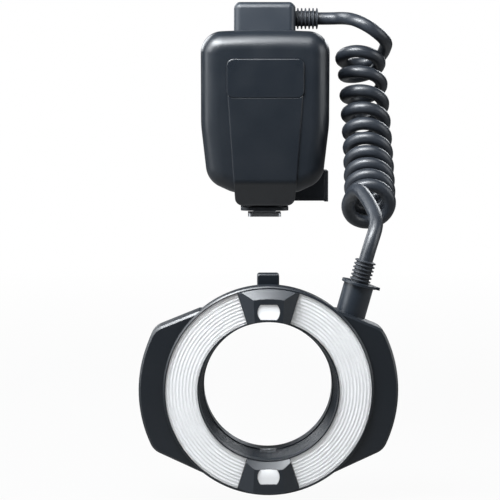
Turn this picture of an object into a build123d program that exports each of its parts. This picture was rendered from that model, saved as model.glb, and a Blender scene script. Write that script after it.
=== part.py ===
from build123d import *

import os
from math import atan, cos, degrees, pi, radians, sin, sqrt, tan

# Macro ring flash: a control unit for an accessory shoe, a coiled cord and a ring-shaped head.
# Millimetres, +Z up. The origin is the middle of the shoe foot's underside. The lit face of the
# head looks towards -Y, and +X is on the right of someone who faces it.

# Fits that all pieces share
wall = 2.2
seat_gap = 0.05
running_gap = 0.25
overrun = 1.0

# Control unit housing, seen from the front
unit_half_width = 35.4
unit_top = 103.8
unit_crown = 1.0
unit_crown_half = 10.0
unit_crown_radius = 300.0
unit_corner_radius = 12.0
waist_height = 52.0
waist_radius = 60.0
hip_half_width = 31.9
hip_height = 21.0
hip_radius = 13.0
keel_half_width = 18.0
keel_height = 14.6
keel_radius = 12.0
unit_bottom = 6.8

# Control unit housing, seen from the side
front_depth = 37.4
front_lean = 3.3
front_edge_radius = 10.0
rear_edge_radius = 5.0

# Raised panel on the front that narrows towards the shoe
panel_top = 68.0
panel_top_half = 20.6
panel_low_half = 16.4
panel_proud = 0.9
panel_edge_radius = 0.7
panel_knee_height = 20.5
panel_knee_radius = 5.0
panel_toe_depth = 18.0
panel_toe_radius = 4.5

# Neck behind the panel
neck_rear_depth = 19.5
neck_rear_radius = 4.0

# Bare name plate
plate_width = 42.4
plate_height = 21.4
plate_middle = 77.4
plate_corner_radius = 3.8
plate_recess = 1.0
plate_proud = 1.0
plate_edge_radius = 0.6

# Screw bosses of the housing
boss_radius = 3.4
boss_length = 12.0
well_radius = 2.3
well_floor = 6.0
upper_boss_inset = 6.2
upper_boss_drop = 7.0
lower_boss_half = 22.0
lower_boss_height = 20.6
housing_screw_radius = 1.0
housing_screw_head_radius = 1.9
housing_screw_head_height = 1.5

# Cord outlet housing on top
outlet_half_width = 17.2
outlet_top = 120.1
outlet_front = 12.0
outlet_rear = 14.0
outlet_side_radius = 3.8
outlet_top_radius = 3.6
outlet_seat_depth = 1.2

# Cord and its strain reliefs
cord_diameter = 7.0
boot_core_radius = 4.3
boot_rib_width = 1.2
boot_rib_count = 6
boot_rib_slope = 0.3
upper_boot_radius = 5.9
upper_boot_pitch = 2.14
upper_boot_height = 111.3
lower_boot_radius = 5.2
lower_boot_pitch = 1.86

# Shoe foot
foot_width = 18.6
foot_length = 18.0
foot_thickness = 2.0
foot_lead_radius = 2.0
foot_neck_width = 12.9
foot_neck_length = 15.0
skirt_bottom = 3.6
skirt_top = 5.5
skirt_width = 26.9
skirt_length = 29.0
skirt_radius = 5.0
skirt_neck_width = 21.0
skirt_neck_length = 23.0
skirt_middle = 2.0
contact_radius = 1.6
small_contact_radius = 0.9
small_contact_circle = 5.6
contact_depth = 1.0
pin_radius = 1.1
pin_place = 5.6
pin_retreat = 0.4
pin_top = 9.6
pin_hole_top = 10.4

# Shoe lock lever
lever_pivot_y = 11.6
lever_bottom = 7.6
lever_thickness = 3.0
lever_hub_radius = 4.6
lever_pin_radius = 1.5
lever_reach = 10.5
lever_half_width = 3.2
lever_knob_length = 3.6
lever_rest_angle = 22.0
lever_slot_half = 8.2
lever_knob_rise = 1.2
release_radius = 0.9
release_travel = 1.2

# Battery bay: four AA cells lie across the unit, one above the other
cell_length = 50.5
cell_diameter = 14.5
cell_count = 4
cell_gap = 0.4
tray_wall = 1.5
tray_mouth = -27.8
tray_bottom = 25.0
tray_front = 5.0
tray_bay_length = 53.4
contact_plate_thickness = 0.4
contact_plate_width = 9.0

# Battery door on the left side
door_bottom = 23.5
door_top = 89.5
door_front = 2.6
door_rear_reach = 6.4
door_gap = 0.3
door_swing_gap = 0.5
door_pin_inset = 2.0
door_pin_place = 4.4
door_pin_radius = 0.8
door_pin_bottom = 47.0
door_pin_top = 86.0
door_lug_bottom = 57.3
door_lug_top = 75.7
door_lug_reach = 9.0
door_lug_width = 3.6
door_travel = 3.0
grip_bottom = 42.5
grip_rib_height = 1.6
grip_rib_pitch = 2.9
grip_rib_count = 5
grip_rib_proud = 0.5
grip_front = 12.0
door_carrier_inner = 28.6
door_carrier_front = 9.8
door_carrier_rear = 21.0
door_carrier_bottom = 28.0
door_carrier_top = 85.0
grip_rear = 25.0

# Power socket at the lower right, with its cover
socket_block_inner = 14.0
socket_block_outer = 34.2
socket_block_bottom = 8.3
socket_block_top = 24.6
socket_block_front = 3.0
socket_block_rear = 26.0
socket_block_radius = 1.5
socket_radius = 4.5
socket_depth = 8.0
socket_height = 14.8
socket_pin_radius = 0.6
socket_pin_circle = 2.2
socket_pin_depth = 5.0
cover_thickness = 2.2
cover_bottom = 7.8
cover_top = 25.2
cover_gap = 0.1
cover_front = 3.6

# Rear face: display and controls
lcd_width = 42.0
lcd_height = 25.0
lcd_middle = 84.5
lcd_radius = 2.0
lcd_window_thickness = 1.2
lcd_panel_thickness = 2.6
lcd_panel_margin = 1.5
lcd_ledge = 1.5
key_proud = 0.9
key_flange = 0.7
key_flange_height = 1.0
key_travel = 0.8
key_edge_radius = 0.3
key_plunger_radius = 1.0
function_key_width = 7.6
function_key_height = 4.2
function_key_radius = 1.0
function_key_pitch = 10.2
function_key_row = 64.0
side_key_radius = 3.1
side_key_column = 20.5
side_key_high = 53.0
side_key_low = 42.0
lamp_radius = 1.6
lamp_height = 33.5
dial_middle = 46.5
dial_radius = 11.5
dial_bore_radius = 5.0
dial_height = 3.2
dial_recess = 1.6
dial_knurl_count = 24
dial_knurl_radius = 0.5
dial_neck_wall = 1.2
dial_neck_end = 0.8
dial_edge_radius = 0.5
set_key_proud = 0.5
set_key_radius = 4.2
switch_middle = 26.0
switch_half_travel = 4.0
switch_knob_width = 7.0
switch_knob_height = 4.6
switch_knob_proud = 1.8
switch_stem_width = 3.0
switch_stem_height = 2.0
switch_edge_radius = 0.5

# Circuit boards and flash capacitor
board_thickness = 1.6
key_room = 6.85
main_board_half_width = 23.0
main_board_bottom = 27.0
main_board_top = 86.0
control_board_half_width = 26.0
control_board_bottom = 28.0
control_board_top = 86.0
capacitor_radius = 12.5
capacitor_length = 46.0
capacitor_bottom = 33.0
capacitor_end_radius = 1.5

# Flash head: depths are measured backwards from the bezel's front
head_front = -150.0
head_height = -75.0
bezel_rim = 1.2
bezel_chamfer = 0.7
bezel_depth = 10.0
wing_reach = 11.9
wing_front = 1.5
wing_rear = 17.0
wing_upper_root_angle = 49.2
wing_lower_root_angle = 52.0
wing_root_reach = 0.3
wing_upper_slope = 22.0
wing_lower_slope = 25.0
wing_corner_radius = 9.0
wing_chamfer = 1.1
eye_step = 2.15
eye_rim = 0.75
diffuser_width = 15.45
diffuser_front = 0.5
diffuser_back = 3.2
diffuser_ridge_count = 9
diffuser_ridge_height = 0.35
diffuser_rim = 0.4
block_half_angle = 17.5
block_gap_angle = 0.15
face_plate_back = 4.6
window_inner_margin = 1.55
window_outer_margin = 1.9
window_end_angle = 20.0
rear_cover_inset = 2.3
rear_cover_front = 8.0
rear_cover_back = 25.0
rear_cover_floor = 2.0
tube_wall = 2.1
bore_radius = 31.75
mount_ring_front = 17.0
mount_ring_wall = 2.65
mount_lip = 0.65
cover_edge_radius = 2.5

# Reflectors and flash tubes in the head
reflector_floor = 10.4
reflector_wall = 0.7
reflector_half_front = 5.8
reflector_half_floor = 3.0
flash_tube_radius = 2.0
flash_tube_end_angle = 24.0
flash_tube_gap = 0.2

# Lamp blocks between the diffusers
upper_block_proud = 4.5
lower_block_proud = 3.6
block_bevel_width = 3.4
block_face_inner_half = 6.8
block_face_outer_half = 7.6
upper_lamp_reach = 39.2
lower_lamp_reach = 41.4
lamp_window_radius = 5.4
lamp_window_half_height = 3.7
lamp_lens_thickness = 2.0
lamp_lens_drop = 0.5
lamp_cup_radius = 3.6
lamp_cup_throat = 2.3
lamp_cup_wall = 0.5
lamp_emitter_size = 2.6
lamp_emitter_height = 1.2
lamp_well_back = 2.45

# Release button and latch ring of the head
button_width = 10.8
button_front = 13.0
button_rear = 21.0
button_top = 55.9
button_edge_radius = 0.8
button_corner_radius = 1.2
button_travel = 2.0
latch_front = 13.4
latch_thickness = 2.0
latch_inner_gap = 2.4
latch_outer_gap = 2.8
claw_half_width = 4.0
claw_tip_radius = 31.0
spring_thickness = 0.5
spring_half_angle = 26.0
spring_end_radius = 46.45
spring_width = 3.0

# Boards and screws of the head
head_board_thickness = 1.2
head_board_inner_radius = 37.2
head_board_outer_radius = 46.0
head_board_half_angle = 70.0
head_screw_radius = 1.0
head_screw_head_radius = 1.9
head_screw_head_height = 1.2
head_screw_length = 9.0
head_boss_radius = 2.6
head_wing_plate = 2.0
head_screw_x = 55.4
head_screw_z = 14.0

# Cord tower at the head's upper right
tower_radius = 7.4
tower_depth = 16.0
tower_flange_x = 44.8
tower_flange_height = -24.1
tower_tilt = 15.6
tower_length = 24.0
tower_flange_radius = 8.7
tower_flange_thickness = 1.3
tower_tab_reach = 10.4
tower_tab_width = 3.4

# Free stretches of the cord: routes chosen by hand, from gland to coil and from coil to gland
upper_route = [
    (43.9, -4.2, 111.4),
    (49.5, -17.3, 110.1),
    (57.7, -21.3, 105.8),
    (65.3, -17.7, 100.2),
]
lower_route = [
    (53.5, -116.8, 10.4),
    (54.0, -127.7, 4.6),
]
exit_place = (44.3, -79.5, 15.7)
exit_direction = (0.142, -0.938, 0.316)

# Coil: its axis is a quadratic curve through these poles, and its turns run left-handed down it
coil_poles = [(53.5, 2.0, 99.3), (58.4, -14.2, 38.8), (54.6, -74.1, 6.4)]
coil_crowding_share = 0.262
coil_radius = 10.25
coil_turns = 11.0
coil_wound_turns = 10.5
coil_entry_turns = 0.75
coil_entry_sag = 7.1
coil_entry_spread = 3.2
coil_exit_shift = 2.8
curls_per_turn = 4
straight_end = cord_diameter
upper_exit_run = 7.6
upper_entry_run = 4.6
lower_exit_run = 11.8
lower_entry_run = 7.1
bend_share = 0.45
coil_samples_per_turn = 24

# Radii of the head, worked out from its bore outwards
mount_lip_radius = bore_radius + mount_lip
mount_ring_radius = bore_radius + mount_ring_wall
eye_radius = bore_radius + eye_step
tube_wall_radius = eye_radius + tube_wall
diffuser_inner_radius = eye_radius + eye_rim
diffuser_outer_radius = diffuser_inner_radius + diffuser_width
window_inner_radius = diffuser_inner_radius + window_inner_margin
window_outer_radius = diffuser_outer_radius - window_outer_margin
reflector_middle = (window_inner_radius + window_outer_radius) / 2
bezel_radius = diffuser_outer_radius + bezel_rim
wing_radius = bezel_radius + wing_reach
rear_cover_radius = bezel_radius - rear_cover_inset
latch_inner_radius = tube_wall_radius + latch_inner_gap
latch_outer_radius = rear_cover_radius - wall - latch_outer_gap


def front_plane(y):
    """A plane that faces -Y at depth y, with X to the right and Z up."""
    return Plane.XZ.offset(-y)


def front_face_y(height):
    """Where the leaning front face of the control unit lies at a height."""
    return -front_depth + (unit_top - height) * tan(radians(front_lean))


def lean_plane(height, out):
    """A plane parallel to the leaning front face, out in front of it."""
    lean = radians(front_lean)
    return Plane(
        origin=(0, front_face_y(height) - out, height),
        x_dir=(1, 0, 0),
        z_dir=(0, -cos(lean), -sin(lean)),
    )


def head_plane(depth):
    """A plane that faces -Y on the head's axis, at a depth behind the bezel's front."""
    return Plane(origin=(0, head_front + depth, head_height), x_dir=(1, 0, 0), z_dir=(0, -1, 0))


head_axis = Axis((0, head_front, head_height), (0, 1, 0))


def radial_plane(angle):
    """Depth along X, radius along Y, at an angle from the head's top towards +X."""
    turn = radians(angle)
    return Plane(
        origin=(0, head_front, head_height),
        x_dir=(0, 1, 0),
        z_dir=(cos(turn), 0, -sin(turn)),
    )


# Control unit housing


def unit_outline(inset):
    """Front view of the housing, drawn in from its edge."""
    with BuildSketch() as outline:
        with BuildLine():
            FilletPolyline(
                (0, unit_top),
                (unit_crown_half, unit_top),
                (unit_half_width, unit_top - unit_crown),
                (unit_half_width, waist_height),
                (hip_half_width, hip_height),
                (keel_half_width, keel_height),
                (0, keel_height),
                radius=[unit_crown_radius, unit_corner_radius, waist_radius, hip_radius, keel_radius],
            )
            mirror(about=Plane.YZ)
        make_face()
        if inset:
            offset(amount=-inset)
    return outline.sketch


def front_form(inset):
    """Front half of the housing as a solid, its skin drawn in by inset."""
    lean = radians(front_lean)
    with BuildPart() as form:
        with BuildSketch(Plane.XZ):
            add(unit_outline(inset))
        extrude(amount=front_depth)
        cut = Plane(origin=(0, -front_depth + inset, unit_top), z_dir=(0, -cos(lean), -sin(lean)))
        split(bisect_by=cut, keep=Keep.BOTTOM)
        fillet(form.faces().sort_by(Axis.Y)[0].edges(), front_edge_radius - inset)
    return form.part


def rear_form(inset):
    """Rear half of the housing as a solid, its skin drawn in by inset."""
    with BuildPart() as form:
        with BuildSketch(Plane.XZ):
            add(unit_outline(inset))
        extrude(amount=-(rear_depth - inset))
        fillet(form.faces().sort_by(Axis.Y)[-1].edges(), rear_edge_radius - inset)
    return form.part


def neck_outline(top):
    """Front view of the panel or the neck below it."""
    with BuildSketch() as outline:
        with BuildLine():
            side = FilletPolyline(
                (panel_top_half, panel_top),
                (panel_low_half, unit_bottom),
                (0, unit_bottom),
                radius=[panel_toe_radius],
            )
            Line((0, panel_top), side @ 0)
            mirror(about=Plane.YZ)
        make_face()
        with Locations((0, top)):
            Rectangle(2 * unit_half_width, unit_top, align=(Align.CENTER, Align.MIN), mode=Mode.SUBTRACT)
    return outline.sketch


upper_boss_x = unit_half_width - upper_boss_inset
upper_boss_height = unit_top - upper_boss_drop
boss_places = [
    (-upper_boss_x, upper_boss_height),
    (upper_boss_x, upper_boss_height),
    (-lower_boss_half, lower_boss_height),
    (lower_boss_half, lower_boss_height),
]


def plate_outline(gap):
    """Name plate, drawn in by gap."""
    with BuildSketch() as outline:
        RectangleRounded(plate_width - 2 * gap, plate_height - 2 * gap, plate_corner_radius - gap)
    return outline.sketch


def outlet_outline(gap):
    """Plan view of the cord outlet housing, let out by gap."""
    with BuildSketch() as outline:
        with Locations((0, (outlet_rear - outlet_front) / 2)):
            RectangleRounded(
                2 * (outlet_half_width + gap),
                outlet_front + outlet_rear + 2 * gap,
                outlet_side_radius + gap,
            )
    return outline.sketch


outlet_seat = unit_top - outlet_seat_depth

# The panel: its front view, cut to its side view
panel_knee_y = front_face_y(panel_knee_height) - panel_proud
panel_top_y = front_face_y(panel_top) - panel_proud
with BuildPart() as panel_form:
    with BuildSketch(Plane.XZ):
        add(neck_outline(panel_top))
    extrude(amount=front_depth + panel_proud)
    with BuildSketch(Plane.YZ):
        with BuildLine():
            FilletPolyline(
                (0, unit_bottom),
                (-panel_toe_depth, unit_bottom),
                (panel_knee_y, panel_knee_height),
                (panel_top_y, panel_top),
                radius=[panel_toe_radius, panel_knee_radius],
            )
            Polyline((panel_top_y, panel_top), (0, panel_top), (0, unit_bottom))
        make_face()
    extrude(amount=unit_half_width, both=True, mode=Mode.INTERSECT)
    panel_rims = panel_form.faces().filter_by(Axis.Y, reverse=True).sort_by(Axis.Y)[0].edges()
    fillet(panel_rims.filter_by(lambda e: abs(e.center().X) > panel_low_half / 2), panel_edge_radius)

with BuildPart() as front_shell:
    add(front_form(0))
    add(panel_form.part)
    add(front_form(wall), mode=Mode.SUBTRACT)
    with BuildSketch(Plane.XZ):
        with Locations(*boss_places):
            Circle(boss_radius)
    extrude(amount=boss_length)
    with BuildSketch(Plane.XZ):
        with Locations(*boss_places):
            Circle(housing_screw_radius + seat_gap)
    extrude(amount=boss_length - overrun, mode=Mode.SUBTRACT)
    with BuildSketch(lean_plane(plate_middle, -plate_recess)):
        add(plate_outline(0))
    extrude(amount=plate_recess + panel_proud + overrun, mode=Mode.SUBTRACT)
    with BuildSketch(Plane.XY.offset(outlet_seat)):
        add(outlet_outline(seat_gap))
    extrude(amount=outlet_seat_depth + overrun, mode=Mode.SUBTRACT)
front_shell.part.label = "front_shell"

with BuildPart() as front_name_plate:
    with BuildSketch(lean_plane(plate_middle, -plate_recess + seat_gap)):
        add(plate_outline(seat_gap))
    extrude(amount=plate_recess + plate_proud)
    fillet(front_name_plate.faces().sort_by(Axis.Y)[0].edges(), plate_edge_radius)
front_name_plate.part.label = "front_name_plate"


# Places on the rear face, seen from behind with X still to the right of the front view
function_key_places = [
    ((index - 1.5) * function_key_pitch, function_key_row) for index in range(4)
]
mode_key_place = (-side_key_column, side_key_high)
lamp_key_place = (-side_key_column, side_key_low)
menu_key_place = (side_key_column, side_key_high)
test_key_place = (side_key_column, side_key_low)
signal_place = (side_key_column, lamp_height)
dial_place = (0, dial_middle)
switch_place = (0, switch_middle)
side_key_places = [mode_key_place, lamp_key_place, menu_key_place, test_key_place]

cell_pitch = cell_diameter + cell_gap
tray_depth = cell_diameter + 2 * cell_gap + 2 * tray_wall
tray_rear = tray_front + tray_depth
rear_depth = tray_rear + seat_gap + board_thickness + key_room + wall
tray_top = tray_bottom + cell_count * cell_pitch + 2 * tray_wall
rear_wall_inside = rear_depth - wall
door_edge = -unit_half_width + door_rear_reach
door_pin_x = -unit_half_width + door_pin_inset
socket_middle_y = (socket_block_front + socket_block_rear) / 2


def door_zone(gap):
    """The box that the battery door fills, let out by gap."""
    with BuildPart() as zone:
        with BuildSketch(Plane.XY.offset(door_bottom - gap)):
            with Locations((door_edge + gap, door_front - gap)):
                Rectangle(
                    door_rear_reach + overrun + gap,
                    rear_depth + overrun,
                    align=(Align.MAX, Align.MIN),
                )
        extrude(amount=door_top - door_bottom + 2 * gap)
    return zone.part


def door_lug_zone(gap):
    """The box of the hinge lug, let out by gap."""
    with BuildPart() as zone:
        with BuildSketch(Plane.XY.offset(door_lug_bottom - gap)):
            with Locations((-unit_half_width - overrun, 0)):
                Rectangle(
                    door_lug_width + overrun + gap,
                    door_lug_reach + gap,
                    align=(Align.MIN, Align.MIN),
                )
        extrude(amount=door_lug_top - door_lug_bottom + 2 * gap)
    return zone.part


def hinge_lug():
    """The lug in the door opening that carries the door's pin."""
    with BuildPart() as lug:
        add(rear_form(0))
        add(door_lug_zone(0), mode=Mode.INTERSECT)
    return lug.part


def function_key_outline(extra):
    """Outline of a function key, let out by extra."""
    with BuildSketch() as outline:
        RectangleRounded(
            function_key_width + 2 * extra, function_key_height + 2 * extra, function_key_radius + extra
        )
    return outline.sketch


with BuildPart() as rear_shell:
    add(rear_form(0))
    with BuildSketch(Plane.XZ):
        add(neck_outline(hip_height))
    extrude(amount=-neck_rear_depth)
    fillet(
        rear_shell.edges().filter_by(Axis.Z, reverse=True).filter_by(
            lambda e: abs(e.center().Y - neck_rear_depth) < seat_gap and e.center().Z < keel_height
        ),
        neck_rear_radius / 2,
    )
    with BuildSketch(front_plane(socket_block_rear)):
        with Locations((socket_block_inner, socket_block_bottom)):
            Rectangle(
                socket_block_outer - socket_block_inner,
                socket_block_top - socket_block_bottom,
                align=(Align.MIN, Align.MIN),
            )
    extrude(amount=socket_block_rear - socket_block_front)
    add(rear_form(wall), mode=Mode.SUBTRACT)
    # Screw wells that reach the rear face
    with BuildSketch(Plane.XZ):
        with Locations(*boss_places):
            Circle(boss_radius)
    extrude(amount=-(rear_depth - rear_edge_radius))
    with BuildSketch(front_plane(well_floor)):
        with Locations(*boss_places):
            Circle(well_radius)
    extrude(amount=-rear_depth, mode=Mode.SUBTRACT)
    with BuildSketch(Plane.XZ):
        with Locations(*boss_places):
            Circle(housing_screw_radius + seat_gap)
    extrude(amount=-well_floor, mode=Mode.SUBTRACT)
    # Seat of the cord outlet housing
    with BuildSketch(Plane.XY.offset(outlet_seat)):
        add(outlet_outline(seat_gap))
    extrude(amount=outlet_seat_depth + overrun, mode=Mode.SUBTRACT)
    # Opening of the battery door, with the slotted lug that carries its pin
    add(door_zone(door_gap), mode=Mode.SUBTRACT)
    add(hinge_lug())
    with BuildSketch(Plane.XY.offset(door_lug_bottom - overrun)):
        with Locations((door_pin_x, door_pin_place + door_travel / 2)):
            SlotCenterToCenter(door_travel, 2 * (door_pin_radius + running_gap / 2), rotation=90)
    extrude(amount=door_lug_top - door_lug_bottom + 2 * overrun, mode=Mode.SUBTRACT)
    # Display opening and its ledge
    with BuildSketch(front_plane(rear_depth + overrun)):
        with Locations((0, lcd_middle)):
            RectangleRounded(lcd_width, lcd_height, lcd_radius)
    extrude(amount=overrun + lcd_window_thickness + seat_gap, mode=Mode.SUBTRACT)
    with BuildSketch(front_plane(rear_depth)):
        with Locations((0, lcd_middle)):
            RectangleRounded(lcd_width - 2 * lcd_ledge, lcd_height - 2 * lcd_ledge, lcd_radius)
    extrude(amount=wall + overrun, mode=Mode.SUBTRACT)
    # Openings of the keys, the lamp, the dial and the switch
    with BuildSketch(front_plane(rear_depth + overrun)):
        with Locations(*function_key_places):
            add(function_key_outline(running_gap))
        with Locations(*side_key_places):
            Circle(side_key_radius + running_gap)
        with Locations(signal_place):
            Circle(lamp_radius + seat_gap)
        with Locations(dial_place):
            Circle(dial_bore_radius + dial_neck_wall + running_gap)
        with Locations(switch_place):
            Rectangle(
                2 * (switch_half_travel + running_gap) + switch_stem_width,
                switch_stem_height + 2 * running_gap,
            )
    extrude(amount=wall + 2 * overrun, mode=Mode.SUBTRACT)
    with BuildSketch(front_plane(rear_depth)):
        with Locations(dial_place):
            Circle(dial_radius + running_gap)
    extrude(amount=dial_recess, mode=Mode.SUBTRACT)
    # Slot of the lock lever round its pivot post, and the locking pin's hole
    with BuildSketch(Plane.XY.offset(lever_bottom - running_gap)):
        with Locations((0, lever_pivot_y)):
            Circle(lever_hub_radius + running_gap)
        with BuildLine():
            Polyline(
                (lever_half_width, lever_pivot_y),
                (lever_slot_half, neck_rear_depth + overrun),
                (-lever_slot_half, neck_rear_depth + overrun),
                (-lever_half_width, lever_pivot_y),
                close=True,
            )
        make_face()
        with Locations((0, lever_pivot_y)):
            Circle(lever_pin_radius, mode=Mode.SUBTRACT)
    extrude(amount=lever_thickness + 2 * running_gap, mode=Mode.SUBTRACT)
    with BuildSketch(Plane.XY):
        with Locations((0, pin_place)):
            Circle(pin_radius + running_gap)
    extrude(amount=pin_hole_top, mode=Mode.SUBTRACT)
    # Bore of the power socket
    with BuildSketch(Plane.YZ.offset(socket_block_outer - socket_depth)):
        with Locations((socket_middle_y, socket_height)):
            Circle(socket_radius)
    extrude(amount=socket_depth + overrun, mode=Mode.SUBTRACT)
rear_shell.part.label = "rear_shell"

with BuildPart() as cord_outlet_housing:
    with BuildSketch(Plane.XY.offset(outlet_seat)):
        add(outlet_outline(0))
    extrude(amount=outlet_top - outlet_seat)
    fillet(cord_outlet_housing.faces().sort_by(Axis.Z)[-1].edges(), outlet_top_radius)
cord_outlet_housing.part.label = "cord_outlet_housing"


# Battery bay


def grip_ribs():
    """Thumb ribs that stand a little proud of the battery door's skin."""
    with BuildPart() as ribs:
        for index in range(grip_rib_count):
            with BuildSketch(Plane.XY.offset(grip_bottom + index * grip_rib_pitch)):
                with Locations((-unit_half_width - overrun, grip_front)):
                    Rectangle(
                        door_rear_reach + overrun, grip_rear - grip_front, align=(Align.MIN, Align.MIN)
                    )
            extrude(amount=grip_rib_height)
        add(rear_form(-grip_rib_proud), mode=Mode.INTERSECT)
        add(rear_form(wall / 2), mode=Mode.SUBTRACT)
    return ribs.part


with BuildPart() as battery_door:
    add(rear_form(0))
    add(rear_form(wall), mode=Mode.SUBTRACT)
    # Contact carrier inside the door
    with BuildSketch(Plane.XY.offset(door_carrier_bottom)):
        with Locations((-door_carrier_inner, door_carrier_front)):
            Rectangle(
                hip_half_width - door_carrier_inner,
                door_carrier_rear - door_carrier_front,
                align=(Align.MAX, Align.MIN),
            )
    extrude(amount=door_carrier_top - door_carrier_bottom)
    # Hinge barrels above and below the lug
    with BuildSketch(Plane.XY.offset(door_pin_bottom)):
        with Locations((door_pin_x, door_pin_place)):
            Circle(door_pin_inset - door_gap / 2)
    extrude(amount=door_pin_top - door_pin_bottom)
    add(door_zone(0), mode=Mode.INTERSECT)
    add(door_lug_zone(door_swing_gap), mode=Mode.SUBTRACT)
    add(grip_ribs())
    # Front corner, rounded about the pin so that it swings past the housing
    with BuildSketch(Plane.XY.offset(door_bottom)):
        with Locations((door_pin_x, door_pin_place)):
            Rectangle(
                door_pin_inset + overrun,
                door_pin_place - door_front + overrun,
                align=(Align.MAX, Align.MAX),
            )
            Circle(door_pin_place - door_front, mode=Mode.SUBTRACT)
    extrude(amount=door_top - door_bottom, mode=Mode.SUBTRACT)
    with BuildSketch(Plane.XY.offset(door_bottom)):
        with Locations((door_pin_x, door_pin_place)):
            Circle(door_pin_radius + seat_gap)
    extrude(amount=door_top - door_bottom, mode=Mode.SUBTRACT)
battery_door.part.label = "battery_door"

with BuildPart() as battery_door_hinge_pin:
    with BuildSketch(Plane.XY.offset(door_pin_bottom)):
        with Locations((door_pin_x, door_pin_place)):
            Circle(door_pin_radius)
    extrude(amount=door_pin_top - door_pin_bottom)
battery_door_hinge_pin.part.label = "battery_door_hinge_pin"

cell_heights = [tray_bottom + tray_wall + (index + 0.5) * cell_pitch for index in range(cell_count)]
bay_middle_y = tray_front + tray_depth / 2

with BuildPart() as battery_tray:
    with BuildSketch(Plane.YZ.offset(tray_mouth)):
        with Locations((tray_front, tray_bottom)):
            Rectangle(tray_depth, tray_top - tray_bottom, align=(Align.MIN, Align.MIN))
    extrude(amount=tray_bay_length + tray_wall)
    with BuildSketch(Plane.YZ.offset(tray_mouth - overrun)):
        with Locations((tray_front + tray_wall, tray_bottom + tray_wall)):
            Rectangle(
                tray_depth - 2 * tray_wall,
                tray_top - tray_bottom - 2 * tray_wall,
                align=(Align.MIN, Align.MIN),
            )
    extrude(amount=tray_bay_length + overrun, mode=Mode.SUBTRACT)
battery_tray.part.label = "battery_tray"

with BuildPart() as battery_contacts:
    with BuildSketch(Plane.YZ.offset(tray_mouth + tray_bay_length - contact_plate_thickness - seat_gap)):
        with Locations(*[(bay_middle_y, height) for height in cell_heights]):
            Rectangle(contact_plate_width, contact_plate_width)
    extrude(amount=contact_plate_thickness)
battery_contacts.part.label = "battery_contacts"

pair_heights = [(cell_heights[0] + cell_heights[1]) / 2, (cell_heights[2] + cell_heights[3]) / 2]
with BuildPart() as door_contacts:
    with BuildSketch(Plane.YZ.offset(-door_carrier_inner + seat_gap)):
        with Locations(*[(bay_middle_y, height) for height in pair_heights]):
            Rectangle(contact_plate_width, cell_pitch + contact_plate_width)
    extrude(amount=contact_plate_thickness)
door_contacts.part.label = "door_contacts"


# Boards and flash capacitor inside the unit
main_board_front = tray_front - seat_gap - board_thickness
control_board_rear = tray_rear + seat_gap + board_thickness

with BuildPart() as main_board:
    with BuildSketch(front_plane(tray_front - seat_gap)):
        with Locations((0, main_board_bottom)):
            Rectangle(
                2 * main_board_half_width,
                main_board_top - main_board_bottom,
                align=(Align.CENTER, Align.MIN),
            )
    extrude(amount=board_thickness)
main_board.part.label = "main_board"

with BuildPart() as control_board:
    with BuildSketch(front_plane(control_board_rear)):
        with Locations((0, control_board_bottom)):
            Rectangle(
                2 * control_board_half_width,
                control_board_top - control_board_bottom,
                align=(Align.CENTER, Align.MIN),
            )
    extrude(amount=board_thickness)
control_board.part.label = "control_board"

with BuildPart() as main_capacitor:
    with BuildSketch(Plane.XY.offset(capacitor_bottom)):
        with Locations((0, main_board_front - seat_gap - capacitor_radius)):
            Circle(capacitor_radius)
    extrude(amount=capacitor_length)
    chamfer(main_capacitor.edges().filter_by(GeomType.CIRCLE), capacitor_end_radius)
main_capacitor.part.label = "main_capacitor"


# Rear face: display, keys, dial and switch
with BuildPart() as lcd_window:
    with BuildSketch(front_plane(rear_depth)):
        with Locations((0, lcd_middle)):
            RectangleRounded(
                lcd_width - 2 * seat_gap, lcd_height - 2 * seat_gap, lcd_radius - seat_gap
            )
    extrude(amount=lcd_window_thickness)
lcd_window.part.label = "lcd_window"

with BuildPart() as lcd_panel:
    with BuildSketch(front_plane(rear_wall_inside - seat_gap)):
        with Locations((0, lcd_middle)):
            Rectangle(lcd_width + 2 * lcd_panel_margin, lcd_height + 2 * lcd_panel_margin)
    extrude(amount=lcd_panel_thickness)
lcd_panel.part.label = "lcd_panel"


def press_key(place, cap, flange, cap_rear, flange_rear):
    """A push key: a cap through the rear wall, a flange behind it and a plunger to the board."""
    with BuildPart() as key:
        with BuildSketch(front_plane(cap_rear)):
            with Locations(place):
                add(cap)
        extrude(amount=cap_rear - flange_rear)
        chamfer(key.faces().sort_by(Axis.Y)[-1].edges(), key_edge_radius)
        with BuildSketch(front_plane(flange_rear)):
            with Locations(place):
                add(flange)
        extrude(amount=key_flange_height)
        with BuildSketch(front_plane(flange_rear - key_flange_height)):
            with Locations(place):
                Circle(key_plunger_radius)
        plunger_end = control_board_rear + key_travel + running_gap
        extrude(amount=flange_rear - key_flange_height - plunger_end)
    return key.part


def round_outline(radius):
    """A round outline."""
    with BuildSketch() as outline:
        Circle(radius)
    return outline.sketch


wall_key_rear = rear_depth + key_proud
wall_flange_rear = rear_wall_inside - seat_gap
keys = {}
for number, place in enumerate(function_key_places, start=1):
    keys[f"function_button_{number}"] = press_key(
        place,
        function_key_outline(0),
        function_key_outline(key_flange),
        wall_key_rear,
        wall_flange_rear,
    )
side_keys = {
    "mode_button": mode_key_place,
    "lamp_button": lamp_key_place,
    "menu_button": menu_key_place,
    "test_button": test_key_place,
}
for name, place in side_keys.items():
    keys[name] = press_key(
        place,
        round_outline(side_key_radius),
        round_outline(side_key_radius + key_flange),
        wall_key_rear,
        wall_flange_rear,
    )

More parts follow.
